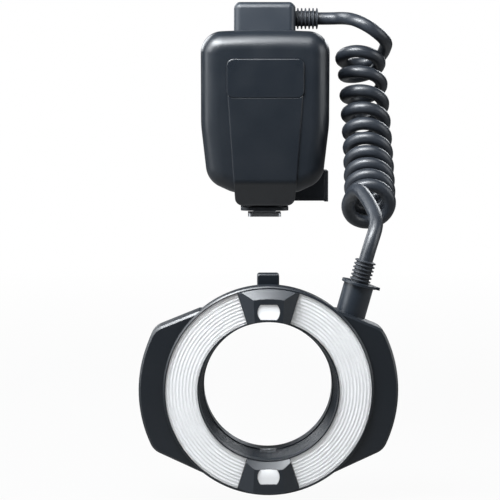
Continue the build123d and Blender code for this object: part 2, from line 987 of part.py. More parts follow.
dial_front = rear_depth - dial_recess + running_gap
dial_rear = dial_front + dial_height
dial_neck_front = rear_wall_inside - dial_neck_end
keys["set_button"] = press_key(
    dial_place,
    round_outline(set_key_radius),
    round_outline(dial_bore_radius + key_flange),
    dial_rear + set_key_proud,
    dial_neck_front - running_gap,
)
for name, key in keys.items():
    key.label = name

with BuildPart() as select_dial:
    with BuildSketch(front_plane(dial_rear)):
        with Locations(dial_place):
            Circle(dial_radius)
    extrude(amount=dial_height)
    chamfer(select_dial.faces().sort_by(Axis.Y)[-1].edges(), dial_edge_radius)
    with BuildSketch(front_plane(dial_rear + overrun)):
        with Locations(dial_place):
            with PolarLocations(dial_radius, dial_knurl_count):
                Circle(dial_knurl_radius)
    extrude(amount=dial_height + overrun, mode=Mode.SUBTRACT)
    with BuildSketch(front_plane(dial_front)):
        with Locations(dial_place):
            Circle(dial_bore_radius + dial_neck_wall)
    extrude(amount=dial_front - dial_neck_front)
    with BuildSketch(front_plane(dial_rear + overrun)):
        with Locations(dial_place):
            Circle(dial_bore_radius)
    extrude(amount=dial_height + wall + dial_recess + 2 * overrun, mode=Mode.SUBTRACT)
select_dial.part.label = "select_dial"

with BuildPart() as power_switch:
    with BuildSketch(front_plane(rear_depth + seat_gap + switch_knob_proud)):
        with Locations((-switch_half_travel, switch_middle)):
            Rectangle(switch_knob_width, switch_knob_height)
    extrude(amount=switch_knob_proud)
    fillet(power_switch.edges().group_by(Axis.Y)[-1], switch_edge_radius)
    with BuildSketch(front_plane(rear_depth + seat_gap)):
        with Locations((-switch_half_travel, switch_middle)):
            Rectangle(switch_stem_width, switch_stem_height)
    extrude(amount=wall + seat_gap + switch_edge_radius)
power_switch.part.label = "power_switch"

with BuildPart() as confirmation_lamp:
    with BuildSketch(front_plane(rear_depth + key_edge_radius)):
        with Locations(signal_place):
            Circle(lamp_radius)
    extrude(amount=wall + 2 * key_edge_radius)
confirmation_lamp.part.label = "confirmation_lamp"

with BuildPart() as unit_screws:
    with BuildSketch(front_plane(well_floor + seat_gap + housing_screw_head_height)):
        with Locations(*boss_places):
            Circle(housing_screw_head_radius)
    extrude(amount=housing_screw_head_height)
    with BuildSketch(front_plane(well_floor + seat_gap)):
        with Locations(*boss_places):
            Circle(housing_screw_radius)
    extrude(amount=well_floor + boss_length - 2 * overrun)
unit_screws.part.label = "unit_screws"


# Power socket and its cover
with BuildPart() as socket_body:
    with BuildSketch(Plane.YZ.offset(socket_block_outer - socket_depth + seat_gap)):
        with Locations((socket_middle_y, socket_height)):
            Circle(socket_radius - seat_gap)
    extrude(amount=socket_depth - 2 * seat_gap)
    with BuildSketch(Plane.YZ.offset(socket_block_outer - socket_pin_depth)):
        with Locations((socket_middle_y, socket_height)):
            with PolarLocations(socket_pin_circle, 3):
                Circle(socket_pin_radius)
    extrude(amount=socket_pin_depth, mode=Mode.SUBTRACT)
socket_body.part.label = "socket_body"

cover_barrel_radius = cover_thickness / 2
cover_inner_x = socket_block_outer + cover_gap
cover_pivot_y = socket_block_rear - cover_barrel_radius
with BuildPart() as socket_cover:
    with BuildSketch(Plane.XY.offset(cover_bottom)):
        with Locations((cover_inner_x, cover_front)):
            Rectangle(cover_thickness, cover_pivot_y - cover_front, align=(Align.MIN, Align.MIN))
        with Locations((cover_inner_x + cover_barrel_radius, cover_pivot_y)):
            Circle(cover_barrel_radius)
    extrude(amount=cover_top - cover_bottom)
    fillet(socket_cover.edges().filter_by(Axis.Z).group_by(Axis.Y)[0].sort_by(Axis.X)[-1], key_proud)
socket_cover.part.label = "socket_cover"


# Shoe foot with its locking parts
with BuildPart() as shoe_skirt:
    with BuildSketch(Plane.XY.offset(skirt_bottom)):
        with Locations((0, skirt_middle)):
            RectangleRounded(skirt_width, skirt_length, skirt_radius)
    extrude(amount=skirt_top - skirt_bottom)
    with BuildSketch(Plane.XY.offset(skirt_top)):
        with Locations((0, skirt_middle)):
            RectangleRounded(skirt_neck_width, skirt_neck_length, skirt_radius)
    extrude(amount=unit_bottom - skirt_top)
    with BuildSketch(Plane.XY.offset(skirt_bottom)):
        with Locations((0, pin_place)):
            Circle(pin_radius + running_gap)
    extrude(amount=unit_bottom - skirt_bottom, mode=Mode.SUBTRACT)
shoe_skirt.part.label = "shoe_skirt"

with PolarLocations(small_contact_circle, 4, start_angle=45) as small_contact_places:
    small_contacts = [place.position for place in small_contact_places]

with BuildPart() as shoe_foot:
    with BuildSketch(Plane.XY):
        Rectangle(foot_width, foot_length)
    extrude(amount=foot_thickness)
    fillet(shoe_foot.edges().filter_by(Axis.Z).group_by(Axis.Y)[0], foot_lead_radius)
    with BuildSketch(Plane.XY.offset(foot_thickness)):
        Rectangle(foot_neck_width, foot_neck_length)
    extrude(amount=skirt_bottom - foot_thickness)
    with BuildSketch(Plane.XY):
        Circle(contact_radius + seat_gap)
        with Locations(*small_contacts):
            Circle(small_contact_radius + seat_gap)
    extrude(amount=contact_depth + seat_gap, mode=Mode.SUBTRACT)
    with BuildSketch(Plane.XY):
        with Locations((0, pin_place)):
            Circle(pin_radius + running_gap)
    extrude(amount=skirt_bottom, mode=Mode.SUBTRACT)
shoe_foot.part.label = "shoe_foot"

with BuildPart() as shoe_contacts:
    with BuildSketch(Plane.XY):
        Circle(contact_radius)
        with Locations(*small_contacts):
            Circle(small_contact_radius)
    extrude(amount=contact_depth)
shoe_contacts.part.label = "shoe_contacts"

with BuildPart() as lock_pin:
    with BuildSketch(Plane.XY.offset(pin_retreat)):
        with Locations((0, pin_place)):
            Circle(pin_radius)
    extrude(amount=pin_top - pin_retreat)
    fillet(lock_pin.faces().sort_by(Axis.Z)[0].edges(), pin_radius / 2)
lock_pin.part.label = "lock_pin"


def lever_plane(height):
    """A plane on the lever's pivot whose Y axis runs out along the lever at rest."""
    turn = radians(lever_rest_angle)
    return Plane(
        origin=(0, lever_pivot_y, height), x_dir=(cos(turn), sin(turn), 0), z_dir=(0, 0, 1)
    )


release_length = release_travel + lever_knob_length / 2
release_plane = lever_plane(lever_bottom + lever_thickness / 2)
release_seat = lever_reach + lever_knob_length / 2
release_face = Plane(
    origin=release_plane.from_local_coords(Vector(0, release_seat, 0)),
    z_dir=release_plane.y_dir,
)

with BuildPart() as lock_lever:
    with BuildSketch(lever_plane(lever_bottom)):
        Circle(lever_hub_radius)
        Rectangle(2 * lever_half_width, lever_reach + overrun, align=(Align.CENTER, Align.MIN))
        Circle(lever_pin_radius + running_gap, mode=Mode.SUBTRACT)
    extrude(amount=lever_thickness)
    with BuildSketch(lever_plane(lever_bottom)):
        with Locations((0, lever_reach)):
            Rectangle(2 * lever_half_width, lever_knob_length, align=(Align.CENTER, Align.MIN))
    extrude(amount=lever_thickness + lever_knob_rise)
    with BuildSketch(release_face.offset(-release_travel - running_gap)):
        Circle(release_radius + running_gap / 2)
    extrude(amount=lever_knob_length, mode=Mode.SUBTRACT)
lock_lever.part.label = "lock_lever"

with BuildPart() as lock_release_button:
    with BuildSketch(release_face):
        Circle(release_radius)
    extrude(amount=release_length)
lock_release_button.part.label = "lock_release_button"


# Strain reliefs


def ribbed_boot(base, radius, pitch):
    """A moulded strain relief: ribs round a core, along the X axis of its base plane."""
    length = boot_rib_count * pitch
    with BuildPart() as boot:
        with BuildSketch(base):
            with BuildLine():
                outline = [(0, 0), (0, boot_core_radius)]
                for index in range(boot_rib_count):
                    start = (index + 1) * pitch - boot_rib_width
                    outline += [
                        (start, boot_core_radius),
                        (start + boot_rib_slope, radius),
                        (start + boot_rib_width - boot_rib_slope, radius),
                        (start + boot_rib_width, boot_core_radius),
                    ]
                Polyline(*outline, (length, 0), close=True)
            make_face()
        revolve(axis=Axis(base.origin, base.x_dir))
    return boot.part


upper_boot_base = Plane(
    origin=(outlet_half_width, 0, upper_boot_height), x_dir=(1, 0, 0), z_dir=(0, -1, 0)
)
upper_cord_boot = ribbed_boot(upper_boot_base, upper_boot_radius, upper_boot_pitch)
upper_cord_boot.label = "upper_cord_boot"


# Flash head housing


def wing_edge(angle, slope):
    """Where a wing's straight edge leaves the bezel and where it meets the wing's outer arc."""
    reach = bezel_radius + wing_root_reach
    root = Vector(reach * cos(radians(angle)), reach * sin(radians(angle)))
    along = Vector(cos(radians(slope)), sin(radians(slope)))
    inward = root.dot(along)
    corner = root + along * (sqrt(inward**2 - reach**2 + wing_radius**2) - inward)
    return root, corner


def wing_outline(inset):
    """Front view of both wings, drawn in from their edges."""
    upper_root, upper_corner = wing_edge(wing_upper_root_angle, -wing_upper_slope)
    lower_root, lower_corner = wing_edge(-wing_lower_root_angle, wing_lower_slope)
    with BuildSketch() as outline:
        with BuildLine():
            Line((0, upper_root.Y), upper_root)
            Line(upper_root, upper_corner)
            ThreePointArc(upper_corner, (wing_radius, 0), lower_corner)
            Line(lower_corner, lower_root)
            Line(lower_root, (0, lower_root.Y))
            mirror(about=Plane.YZ)
        make_face()
        fillet(outline.vertices().sort_by_distance((0, 0))[-4:], wing_corner_radius)
        if inset:
            offset(amount=-inset)
    return outline.sketch


def ring_sector(inner, outer, start, end):
    """A sector of a ring, its angles measured from the head's top towards +X."""
    with BuildSketch() as sector:
        with BuildLine():
            outer_arc = CenterArc((0, 0), outer, 90 - end, end - start)
            inner_arc = CenterArc((0, 0), inner, 90 - end, end - start)
            Line(outer_arc @ 0, inner_arc @ 0)
            Line(outer_arc @ 1, inner_arc @ 1)
        make_face()
    return sector.sketch


sides = {"right": 0, "left": 180}
head_screw_places = [
    (across * head_screw_x, up * head_screw_z) for across in (-1, 1) for up in (-1, 1)
]
screw_head_seat = wing_rear - head_screw_head_height - seat_gap
wing_plate_front = wing_rear - head_wing_plate

with BuildPart() as wing_form:
    with BuildSketch(head_plane(wing_rear)):
        add(wing_outline(0))
    extrude(amount=wing_rear - wing_front)
    chamfer(wing_form.faces().sort_by(Axis.Y)[0].edges(), wing_chamfer)

tilt = radians(tower_tilt)
tower_axis = Vector(sin(tilt), 0, cos(tilt))
tower_plane = Plane(
    origin=(tower_flange_x, head_front + tower_depth, tower_flange_height),
    x_dir=(cos(tilt), 0, -sin(tilt)),
    z_dir=tower_axis,
)

with BuildPart() as head_front_ring:
    with BuildSketch(head_plane(bezel_depth)):
        Circle(bezel_radius)
    extrude(amount=bezel_depth)
    chamfer(head_front_ring.edges().filter_by(GeomType.CIRCLE).sort_by(Axis.Y)[0], bezel_chamfer)
    add(wing_form.part)
    # Hollow behind the face plate
    with BuildSketch(head_plane(wing_rear + overrun)):
        add(wing_outline(wall))
        Circle(rear_cover_radius + seat_gap)
    extrude(amount=wing_rear + overrun - face_plate_back, mode=Mode.SUBTRACT)
    # Eye, pocket of the diffusers and windows of the reflectors
    with BuildSketch(head_plane(wing_rear)):
        Circle(eye_radius)
    extrude(amount=wing_rear + overrun, mode=Mode.SUBTRACT)
    with BuildSketch(head_plane(diffuser_back)):
        Circle(diffuser_outer_radius + seat_gap)
        Circle(diffuser_inner_radius - seat_gap, mode=Mode.SUBTRACT)
    extrude(amount=diffuser_back + overrun, mode=Mode.SUBTRACT)
    with BuildSketch(head_plane(face_plate_back + overrun)):
        for turn in sides.values():
            add(
                ring_sector(
                    window_inner_radius,
                    window_outer_radius,
                    turn + window_end_angle,
                    turn + 180 - window_end_angle,
                )
            )
    extrude(amount=face_plate_back + overrun, mode=Mode.SUBTRACT)
    # Screw bosses in the wings
    with BuildSketch(head_plane(wing_plate_front - seat_gap)):
        with Locations(*head_screw_places):
            Circle(head_boss_radius)
    extrude(amount=wing_plate_front - face_plate_back)
    with BuildSketch(head_plane(wing_rear)):
        with Locations(*head_screw_places):
            Circle(head_screw_radius + seat_gap)
    extrude(amount=wing_rear - screw_head_seat + head_screw_length + seat_gap, mode=Mode.SUBTRACT)
    # Clearance of the cord tower
    with BuildSketch(tower_plane):
        Circle(tower_radius + seat_gap)
    extrude(amount=-tower_length, mode=Mode.SUBTRACT)
head_front_ring.part.label = "head_front_ring"

with BuildPart() as wing_plates:
    with BuildSketch(head_plane(wing_rear)):
        add(wing_outline(wall + seat_gap))
        Circle(rear_cover_radius - wall / 2, mode=Mode.SUBTRACT)
        with Locations(*head_screw_places):
            Circle(head_screw_radius + running_gap, mode=Mode.SUBTRACT)
    extrude(amount=head_wing_plate)
    with BuildSketch(head_plane(wing_rear)):
        with Locations(*head_screw_places):
            Circle(head_screw_head_radius + running_gap)
    extrude(amount=head_screw_head_height + seat_gap, mode=Mode.SUBTRACT)

with BuildPart() as head_rear_shell:
    with BuildSketch(radial_plane(0)):
        with BuildLine():
            Polyline(
                (face_plate_back + seat_gap, eye_radius),
                (face_plate_back + seat_gap, tube_wall_radius),
                (rear_cover_back - rear_cover_floor, tube_wall_radius),
                (rear_cover_back - rear_cover_floor, rear_cover_radius - wall),
                (rear_cover_front, rear_cover_radius - wall),
                (rear_cover_front, rear_cover_radius),
                (rear_cover_back, rear_cover_radius),
                (rear_cover_back, mount_ring_radius),
                (mount_ring_front, mount_ring_radius),
                (mount_ring_front, mount_lip_radius),
                close=True,
            )
        make_face()
    revolve(axis=head_axis)
    rims = head_rear_shell.edges().filter_by(GeomType.CIRCLE).group_by(Axis.Y)[-1]
    fillet(rims.sort_by(lambda e: e.radius)[-1], cover_edge_radius)
    add(wing_plates.part)
    # Slot of the release button, and the claw's slot in the inner wall
    with BuildSketch(head_plane(button_rear + running_gap)):
        with Locations((0, latch_outer_radius)):
            Rectangle(
                button_width + 2 * running_gap,
                rear_cover_radius - latch_outer_radius + overrun,
                align=(Align.CENTER, Align.MIN),
            )
    extrude(amount=button_rear - button_front + 2 * running_gap, mode=Mode.SUBTRACT)
    with BuildSketch(head_plane(latch_front + latch_thickness + running_gap)):
        with Locations((0, -latch_inner_radius)):
            Rectangle(
                2 * (claw_half_width + running_gap),
                latch_inner_radius - claw_tip_radius + overrun,
                align=(Align.CENTER, Align.MIN),
            )
    extrude(amount=latch_thickness + 2 * running_gap, mode=Mode.SUBTRACT)
    with BuildSketch(tower_plane):
        Circle(tower_radius + seat_gap)
    extrude(amount=-tower_length, mode=Mode.SUBTRACT)
head_rear_shell.part.label = "head_rear_shell"

with BuildPart() as mount_ring:
    with BuildSketch(head_plane(rear_cover_back)):
        Circle(mount_ring_radius - seat_gap)
        Circle(bore_radius, mode=Mode.SUBTRACT)
    extrude(amount=rear_cover_back - mount_ring_front - seat_gap)
mount_ring.part.label = "mount_ring"

with BuildPart() as head_screws:
    with BuildSketch(head_plane(wing_rear - seat_gap)):
        with Locations(*head_screw_places):
            Circle(head_screw_head_radius)
    extrude(amount=head_screw_head_height)
    with BuildSketch(head_plane(screw_head_seat)):
        with Locations(*head_screw_places):
            Circle(head_screw_radius)
    extrude(amount=head_screw_length)
head_screws.part.label = "head_screws"


# Diffusers, reflectors and flash tubes, one of each on either side
ridge_start = diffuser_inner_radius + diffuser_rim
ridge_pitch = (diffuser_outer_radius - diffuser_inner_radius - 2 * diffuser_rim) / diffuser_ridge_count
ridge_valley = diffuser_front + diffuser_ridge_height
diffuser_angle = block_half_angle + block_gap_angle
tube_depth = reflector_floor - flash_tube_gap - flash_tube_radius


def side_diffuser(turn):
    """A diffuser with concentric ridges on its front."""
    with BuildPart() as diffuser:
        with BuildSketch(radial_plane(turn + diffuser_angle)):
            with BuildLine():
                ridges = [(diffuser_front, diffuser_inner_radius)]
                for index in range(diffuser_ridge_count):
                    start = ridge_start + index * ridge_pitch
                    ridges += [(ridge_valley, start), (diffuser_front, start + ridge_pitch / 2)]
                Polyline(
                    *ridges,
                    (ridge_valley, diffuser_outer_radius - diffuser_rim),
                    (diffuser_front, diffuser_outer_radius),
                    (diffuser_back - seat_gap, diffuser_outer_radius),
                    (diffuser_back - seat_gap, diffuser_inner_radius),
                    close=True,
                )
            make_face()
        revolve(axis=head_axis, revolution_arc=180 - 2 * diffuser_angle)
    return diffuser.part


def side_reflector(turn):
    """A trough behind a diffuser, open to the front."""
    front = face_plate_back + seat_gap
    with BuildPart() as reflector:
        with BuildSketch(radial_plane(turn + window_end_angle)):
            with BuildLine():
                Polyline(
                    (front, reflector_middle - reflector_half_front),
                    (reflector_floor + reflector_wall, reflector_middle - reflector_half_floor),
                    (reflector_floor + reflector_wall, reflector_middle + reflector_half_floor),
                    (front, reflector_middle + reflector_half_front),
                    (front, reflector_middle + reflector_half_front - reflector_wall),
                    (reflector_floor, reflector_middle + reflector_half_floor - reflector_wall),
                    (reflector_floor, reflector_middle - reflector_half_floor + reflector_wall),
                    (front, reflector_middle - reflector_half_front + reflector_wall),
                    close=True,
                )
            make_face()
        revolve(axis=head_axis, revolution_arc=180 - 2 * window_end_angle)
    return reflector.part


def side_flash_tube(turn):
    """A glass tube bent to an arc in front of its reflector's floor."""
    with BuildPart() as tube:
        with BuildSketch(radial_plane(turn + flash_tube_end_angle)):
            with Locations((tube_depth, reflector_middle)):
                Circle(flash_tube_radius)
        revolve(axis=head_axis, revolution_arc=180 - 2 * flash_tube_end_angle)
    return tube.part


side_parts = {}
for side, turn in sides.items():
    side_parts[f"{side}_diffuser"] = side_diffuser(turn)
    side_parts[f"{side}_reflector"] = side_reflector(turn)
    side_parts[f"{side}_flash_tube"] = side_flash_tube(turn)
for name, piece in side_parts.items():
    piece.label = name


# Lamp blocks between the diffusers, with their lenses, cups and emitters


def lamp_window(gap):
    """A round window cut flat above and below, drawn in by gap."""
    with BuildSketch() as window:
        Circle(lamp_window_radius - gap)
        Rectangle(2 * lamp_window_radius, 2 * (lamp_window_half_height - gap), mode=Mode.INTERSECT)
    return window.sketch


def lamp_block(sense, proud, reach):
    """A raised block with slanted sides and a bevel on its upper edge; sense is 1 at the top."""
    middle = 90 - 90 * sense
    half = block_half_angle - block_gap_angle
    with BuildPart() as block:
        with BuildSketch(head_plane(diffuser_back - seat_gap)):
            add(ring_sector(diffuser_inner_radius, diffuser_outer_radius, middle - half, middle + half))
        extrude(amount=diffuser_back - seat_gap + proud)
        arcs = block.faces().sort_by(Axis.Y)[0].edges().filter_by(GeomType.CIRCLE)
        chamfer(arcs.sort_by(Axis.Z)[-1], block_bevel_width, length2=proud)
        foot_x = diffuser_outer_radius * sin(radians(block_half_angle))
        foot_z = sense * diffuser_outer_radius * cos(radians(block_half_angle))
        for side in (-1, 1):
            near = Vector(side * block_face_inner_half, head_front - proud, sense * diffuser_inner_radius)
            far = Vector(side * block_face_outer_half, head_front - proud, sense * diffuser_outer_radius)
            foot = Vector(side * foot_x, head_front, foot_z)
            normal = (far - near).cross(foot - near)
            if normal.X * side < 0:
                normal = normal * -1
            split(
                bisect_by=Plane(origin=near + Vector(0, 0, head_height), z_dir=normal),
                keep=Keep.BOTTOM,
            )
        with BuildSketch(head_plane(lamp_well_back)):
            with Locations((0, sense * reach)):
                add(lamp_window(0))
        extrude(amount=lamp_well_back + proud + overrun, mode=Mode.SUBTRACT)
    return block.part


def lamp_cup(sense, proud, reach):
    """The cone-shaped reflector behind a lamp's window."""
    front = lamp_lens_drop + lamp_lens_thickness + seat_gap - proud
    back = lamp_well_back - lamp_emitter_height - 2 * seat_gap
    with BuildPart() as cup:
        with BuildSketch(radial_plane(0)):
            with BuildLine():
                Polyline(
                    (front, sense * reach + lamp_cup_radius),
                    (back, sense * reach + lamp_cup_throat),
                    (back, sense * reach + lamp_cup_throat - lamp_cup_wall),
                    (front, sense * reach + lamp_cup_radius - lamp_cup_wall),
                    close=True,
                )
            make_face()
        revolve(axis=Axis((0, head_front, head_height + sense * reach), (0, 1, 0)))
    return cup.part


lamps = {
    "upper": (1, upper_block_proud, upper_lamp_reach),
    "lower": (-1, lower_block_proud, lower_lamp_reach),
}
for name, lamp in lamps.items():
    side_parts[f"{name}_lamp_block"] = lamp_block(*lamp)
    side_parts[f"{name}_lamp_block"].label = f"{name}_lamp_block"

with BuildPart() as lamp_lenses:
    for sense, proud, reach in lamps.values():
        with BuildSketch(head_plane(lamp_lens_drop + lamp_lens_thickness - proud)):
            with Locations((0, sense * reach)):
                add(lamp_window(seat_gap))
        extrude(amount=lamp_lens_thickness)
lamp_lenses.part.label = "lamp_lenses"

with BuildPart() as lamp_reflectors:
    for lamp in lamps.values():
        add(lamp_cup(*lamp))
lamp_reflectors.part.label = "lamp_reflectors"

with BuildPart() as lamp_emitters:
    with BuildSketch(head_plane(lamp_well_back - seat_gap)):
        with Locations((0, upper_lamp_reach), (0, -lower_lamp_reach)):
            Rectangle(lamp_emitter_size, lamp_emitter_size)
    extrude(amount=lamp_emitter_height)
lamp_emitters.part.label = "lamp_emitters"


# Release button, latch ring and spring of the head
with BuildPart() as head_release_button:
    with BuildSketch(head_plane(button_rear)):
        with Locations((0, latch_outer_radius + seat_gap)):
            Rectangle(
                button_width,
                button_top - latch_outer_radius - seat_gap,
                align=(Align.CENTER, Align.MIN),
            )
    extrude(amount=button_rear - button_front)
    fillet(head_release_button.edges().filter_by(Axis.Y).group_by(Axis.Z)[-1], button_corner_radius)
    rim = head_release_button.faces().sort_by(Axis.Y)[0].edges()
    fillet(rim.filter_by(lambda e: e.center().Z > head_height + rear_cover_radius), button_edge_radius)
head_release_button.part.label = "head_release_button"

with BuildPart() as head_latch_slide:
    with BuildSketch(head_plane(latch_front + latch_thickness)):
        Circle(latch_outer_radius)
        Circle(latch_inner_radius, mode=Mode.SUBTRACT)
        with Locations((0, -latch_inner_radius - overrun)):
            Rectangle(
                2 * claw_half_width,
                latch_inner_radius + overrun - claw_tip_radius,
                align=(Align.CENTER, Align.MIN),
            )
    extrude(amount=latch_thickness)
head_latch_slide.part.label = "head_latch_slide"

spring_end = Vector(
    spring_end_radius * sin(radians(spring_half_angle)),
    -spring_end_radius * cos(radians(spring_half_angle)),
)
spring_middle = Vector(0, -latch_outer_radius - running_gap - spring_thickness / 2)
with BuildPart() as head_latch_spring:
    with BuildSketch(head_plane(latch_front + latch_thickness / 2 + spring_width / 2)):
        with BuildLine() as spring_line:
            ThreePointArc(spring_end, spring_middle, (-spring_end.X, spring_end.Y))
        trace(spring_line.line, line_width=spring_thickness)
    extrude(amount=spring_width)
head_latch_spring.part.label = "head_latch_spring"

with BuildPart() as head_board:
    with BuildSketch(head_plane(rear_cover_back - rear_cover_floor - seat_gap)):
        add(
            ring_sector(
                head_board_inner_radius,
                head_board_outer_radius,
                180 - head_board_half_angle,
                180 + head_board_half_angle,
            )
        )
    extrude(amount=head_board_thickness)
head_board.part.label = "head_board"

with BuildPart() as head_cord_socket:
    with BuildSketch(tower_plane):
        Circle(tower_radius)
    extrude(amount=-tower_length)
    with BuildSketch(tower_plane.offset(-tower_flange_thickness / 2)):
        Circle(tower_flange_radius)
        Rectangle(tower_tab_reach, tower_tab_width, align=(Align.MIN, Align.CENTER))
    extrude(amount=tower_flange_thickness)
    with BuildSketch(head_plane(rear_cover_back + overrun)):
        Circle(rear_cover_radius + seat_gap)
    extrude(amount=rear_cover_back + overrun, mode=Mode.SUBTRACT)
    with BuildSketch(head_plane(bezel_depth + seat_gap)):
        Circle(bezel_radius + seat_gap)
    extrude(amount=bezel_depth, mode=Mode.SUBTRACT)
head_cord_socket.part.label = "head_cord_socket"


lower_boot_base = Plane(
    origin=tower_plane.origin + tower_axis * (tower_flange_thickness / 2),
    x_dir=tower_axis,
    z_dir=(0, -1, 0),
)
head_cord_boot = ribbed_boot(lower_boot_base, lower_boot_radius, lower_boot_pitch)
head_cord_boot.label = "head_cord_boot"


# Cord: two free stretches and the coil between them


def coil_place(turn):
    """Where the middle of the cord lies in the coil after a number of turns."""
    share = turn / coil_turns
    t = share + coil_crowding_share * share * (1 - share)
    top, bend, foot = [Vector(*pole) for pole in coil_poles]
    middle = top * (1 - t) ** 2 + bend * (2 * t * (1 - t)) + foot * t**2
    along = (bend - top) * (1 - t) + (foot - bend) * t
    up = Vector(0, along.Z, -along.Y).normalized()
    radius = coil_radius
    if turn < coil_entry_turns:
        entry = turn / coil_entry_turns
        middle = middle - Vector(0, 0, coil_entry_sag * cos(pi / 2 * entry**1.5) ** 2)
        radius += coil_entry_spread * (1 - entry) ** 2
    if turn > coil_turns - 1:
        middle = middle - Vector(coil_exit_shift * ((turn - coil_turns + 1) / coil_entry_turns) ** 2, 0, 0)
    angle = -2 * pi * turn
    return middle + Vector(1, 0, 0) * (radius * cos(angle)) + up * (radius * sin(angle))


def coil_direction(turn):
    """Which way the cord runs in the coil after a number of turns."""
    step = 0.001
    before = coil_place(max(turn - step, 0))
    return (coil_place(turn + step) - before).normalized()


def joining_point(start, start_direction, end, end_direction):
    """Where the two arcs of a smooth pair meet, and their common direction there."""
    chord = end - start
    both = start_direction + end_direction
    spread = 2 * (1 - start_direction.dot(end_direction))
    pull = chord.dot(both)
    reach = (sqrt(pull**2 + spread * chord.dot(chord)) - pull) / spread
    first = start + start_direction * reach
    second = end - end_direction * reach
    return (first + second) / 2, (second - first).normalized()


curl_count = round(coil_wound_turns * curls_per_turn)
coil_nodes = [
    (coil_place(index / curls_per_turn), coil_direction(index / curls_per_turn))
    for index in range(curl_count + 1)
]
coil_nodes.append((Vector(*exit_place), Vector(*exit_direction).normalized()))
coil_entry = coil_nodes[0][0] - coil_nodes[0][1] * straight_end
coil_exit = coil_nodes[-1][0] + coil_nodes[-1][1] * straight_end

with BuildPart() as cord_coil:
    with BuildLine() as coil_line:
        Line(coil_entry, coil_nodes[0][0])
        for (start, start_direction), (end, end_direction) in zip(coil_nodes, coil_nodes[1:]):
            meeting, shared_direction = joining_point(start, start_direction, end, end_direction)
            TangentArc(start, meeting, tangent=start_direction)
            TangentArc(meeting, end, tangent=shared_direction)
        Line(coil_nodes[-1][0], coil_exit)
    with BuildSketch(Plane(origin=coil_entry, z_dir=coil_nodes[0][1])):
        Circle(cord_diameter / 2)
    sweep(path=coil_line.line)
cord_coil.part.label = "cord_coil"


def route_radii(route):
    """Bend radii for a route: each as wide as its shorter neighbouring run allows."""
    radii = []
    for before, corner, after in zip(route, route[1:], route[2:]):
        arriving = corner - before
        leaving = after - corner
        half_turn = radians(arriving.get_angle(leaving)) / 2
        radii.append(bend_share * min(arriving.length, leaving.length) / tan(half_turn))
    return radii


def free_stretch(name, route):
    """A free stretch of cord along a chosen route."""
    radii = route_radii(route)
    with BuildPart() as stretch:
        with BuildLine() as path:
            FilletPolyline(*route, radius=radii)
        with BuildSketch(Plane(origin=route[0], z_dir=route[1] - route[0])):
            Circle(cord_diameter / 2)
        sweep(path=path.line)
    expected = pi * cord_diameter**2 / 4 * path.wire().length
    print(name, "length", round(path.wire().length, 2), "bend radii", [round(r, 1) for r in radii])
    print(name, "volume", round(stretch.part.volume, 1), "section times length", round(expected, 1))
    stretch.part.label = name
    return stretch.part


upper_boot_end = upper_boot_base.origin + Vector(1, 0, 0) * (boot_rib_count * upper_boot_pitch)
lower_boot_end = lower_boot_base.origin + tower_axis * (boot_rib_count * lower_boot_pitch)
upper_cord_lead = free_stretch(
    "upper_cord_lead",
    [
        upper_boot_end,
        upper_boot_end + Vector(upper_exit_run, 0, 0),
        *[Vector(*point) for point in upper_route],
        coil_entry - coil_nodes[0][1] * upper_entry_run,
        coil_entry,
    ],
)
lower_cord_lead = free_stretch(
    "lower_cord_lead",
    [
        coil_exit,
        coil_exit + coil_nodes[-1][1] * lower_exit_run,
        *[Vector(*point) for point in lower_route],
        lower_boot_end + tower_axis * lower_entry_run,
        lower_boot_end,
    ],
)

# The coil's least gap to itself, measured between points on its middle line
sample_count = round(coil_wound_turns * coil_samples_per_turn) + 1
samples = [coil_place(index / coil_samples_per_turn) for index in range(sample_count)]
near_turn = coil_samples_per_turn // 2
least_gap = min(
    (samples[first] - samples[second]).length
    for first in range(len(samples))
    for second in range(first + near_turn, len(samples))
)
print("cord_coil least gap", round(least_gap - cord_diameter, 2))
coil_section = pi * cord_diameter**2 / 4 * coil_line.wire().length
print("cord_coil length", round(coil_line.wire().length, 1), "volume", round(cord_coil.part.volume, 1))
print("cord_coil section times length", round(coil_section, 1))

# Export, one file for each node
os.makedirs("parts", exist_ok=True)
built = [
    front_shell,
    front_name_plate,
    rear_shell,
    cord_outlet_housing,
    battery_door,
    battery_door_hinge_pin,
    battery_tray,
    battery_contacts,
    door_contacts,
    main_board,
    control_board,
    main_capacitor,
    lcd_window,
    lcd_panel,
    select_dial,
    power_switch,
    confirmation_lamp,
    unit_screws,
    socket_body,
    socket_cover,
    shoe_skirt,
    shoe_foot,
    shoe_contacts,
    lock_pin,
    lock_lever,
    lock_release_button,
    head_front_ring,
    head_rear_shell,
    mount_ring,
    head_screws,
    lamp_lenses,
    lamp_reflectors,
    lamp_emitters,
    head_release_button,
    head_latch_slide,
    head_latch_spring,
    head_board,
    head_cord_socket,
    cord_coil,
]
pieces = [block.part for block in built]
pieces += [*keys.values(), *side_parts.values()]
pieces += [upper_cord_boot, head_cord_boot, upper_cord_lead, lower_cord_lead]
for piece in pieces:
    export_step(piece, f"parts/{piece.label}.step")
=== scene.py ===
from math import cos, pi, radians, sin, sqrt

import bpy
from bpy.props import (
    FloatProperty,
    FloatVectorProperty,
    IntProperty,
    PointerProperty,
)
from mathutils import Matrix, Vector


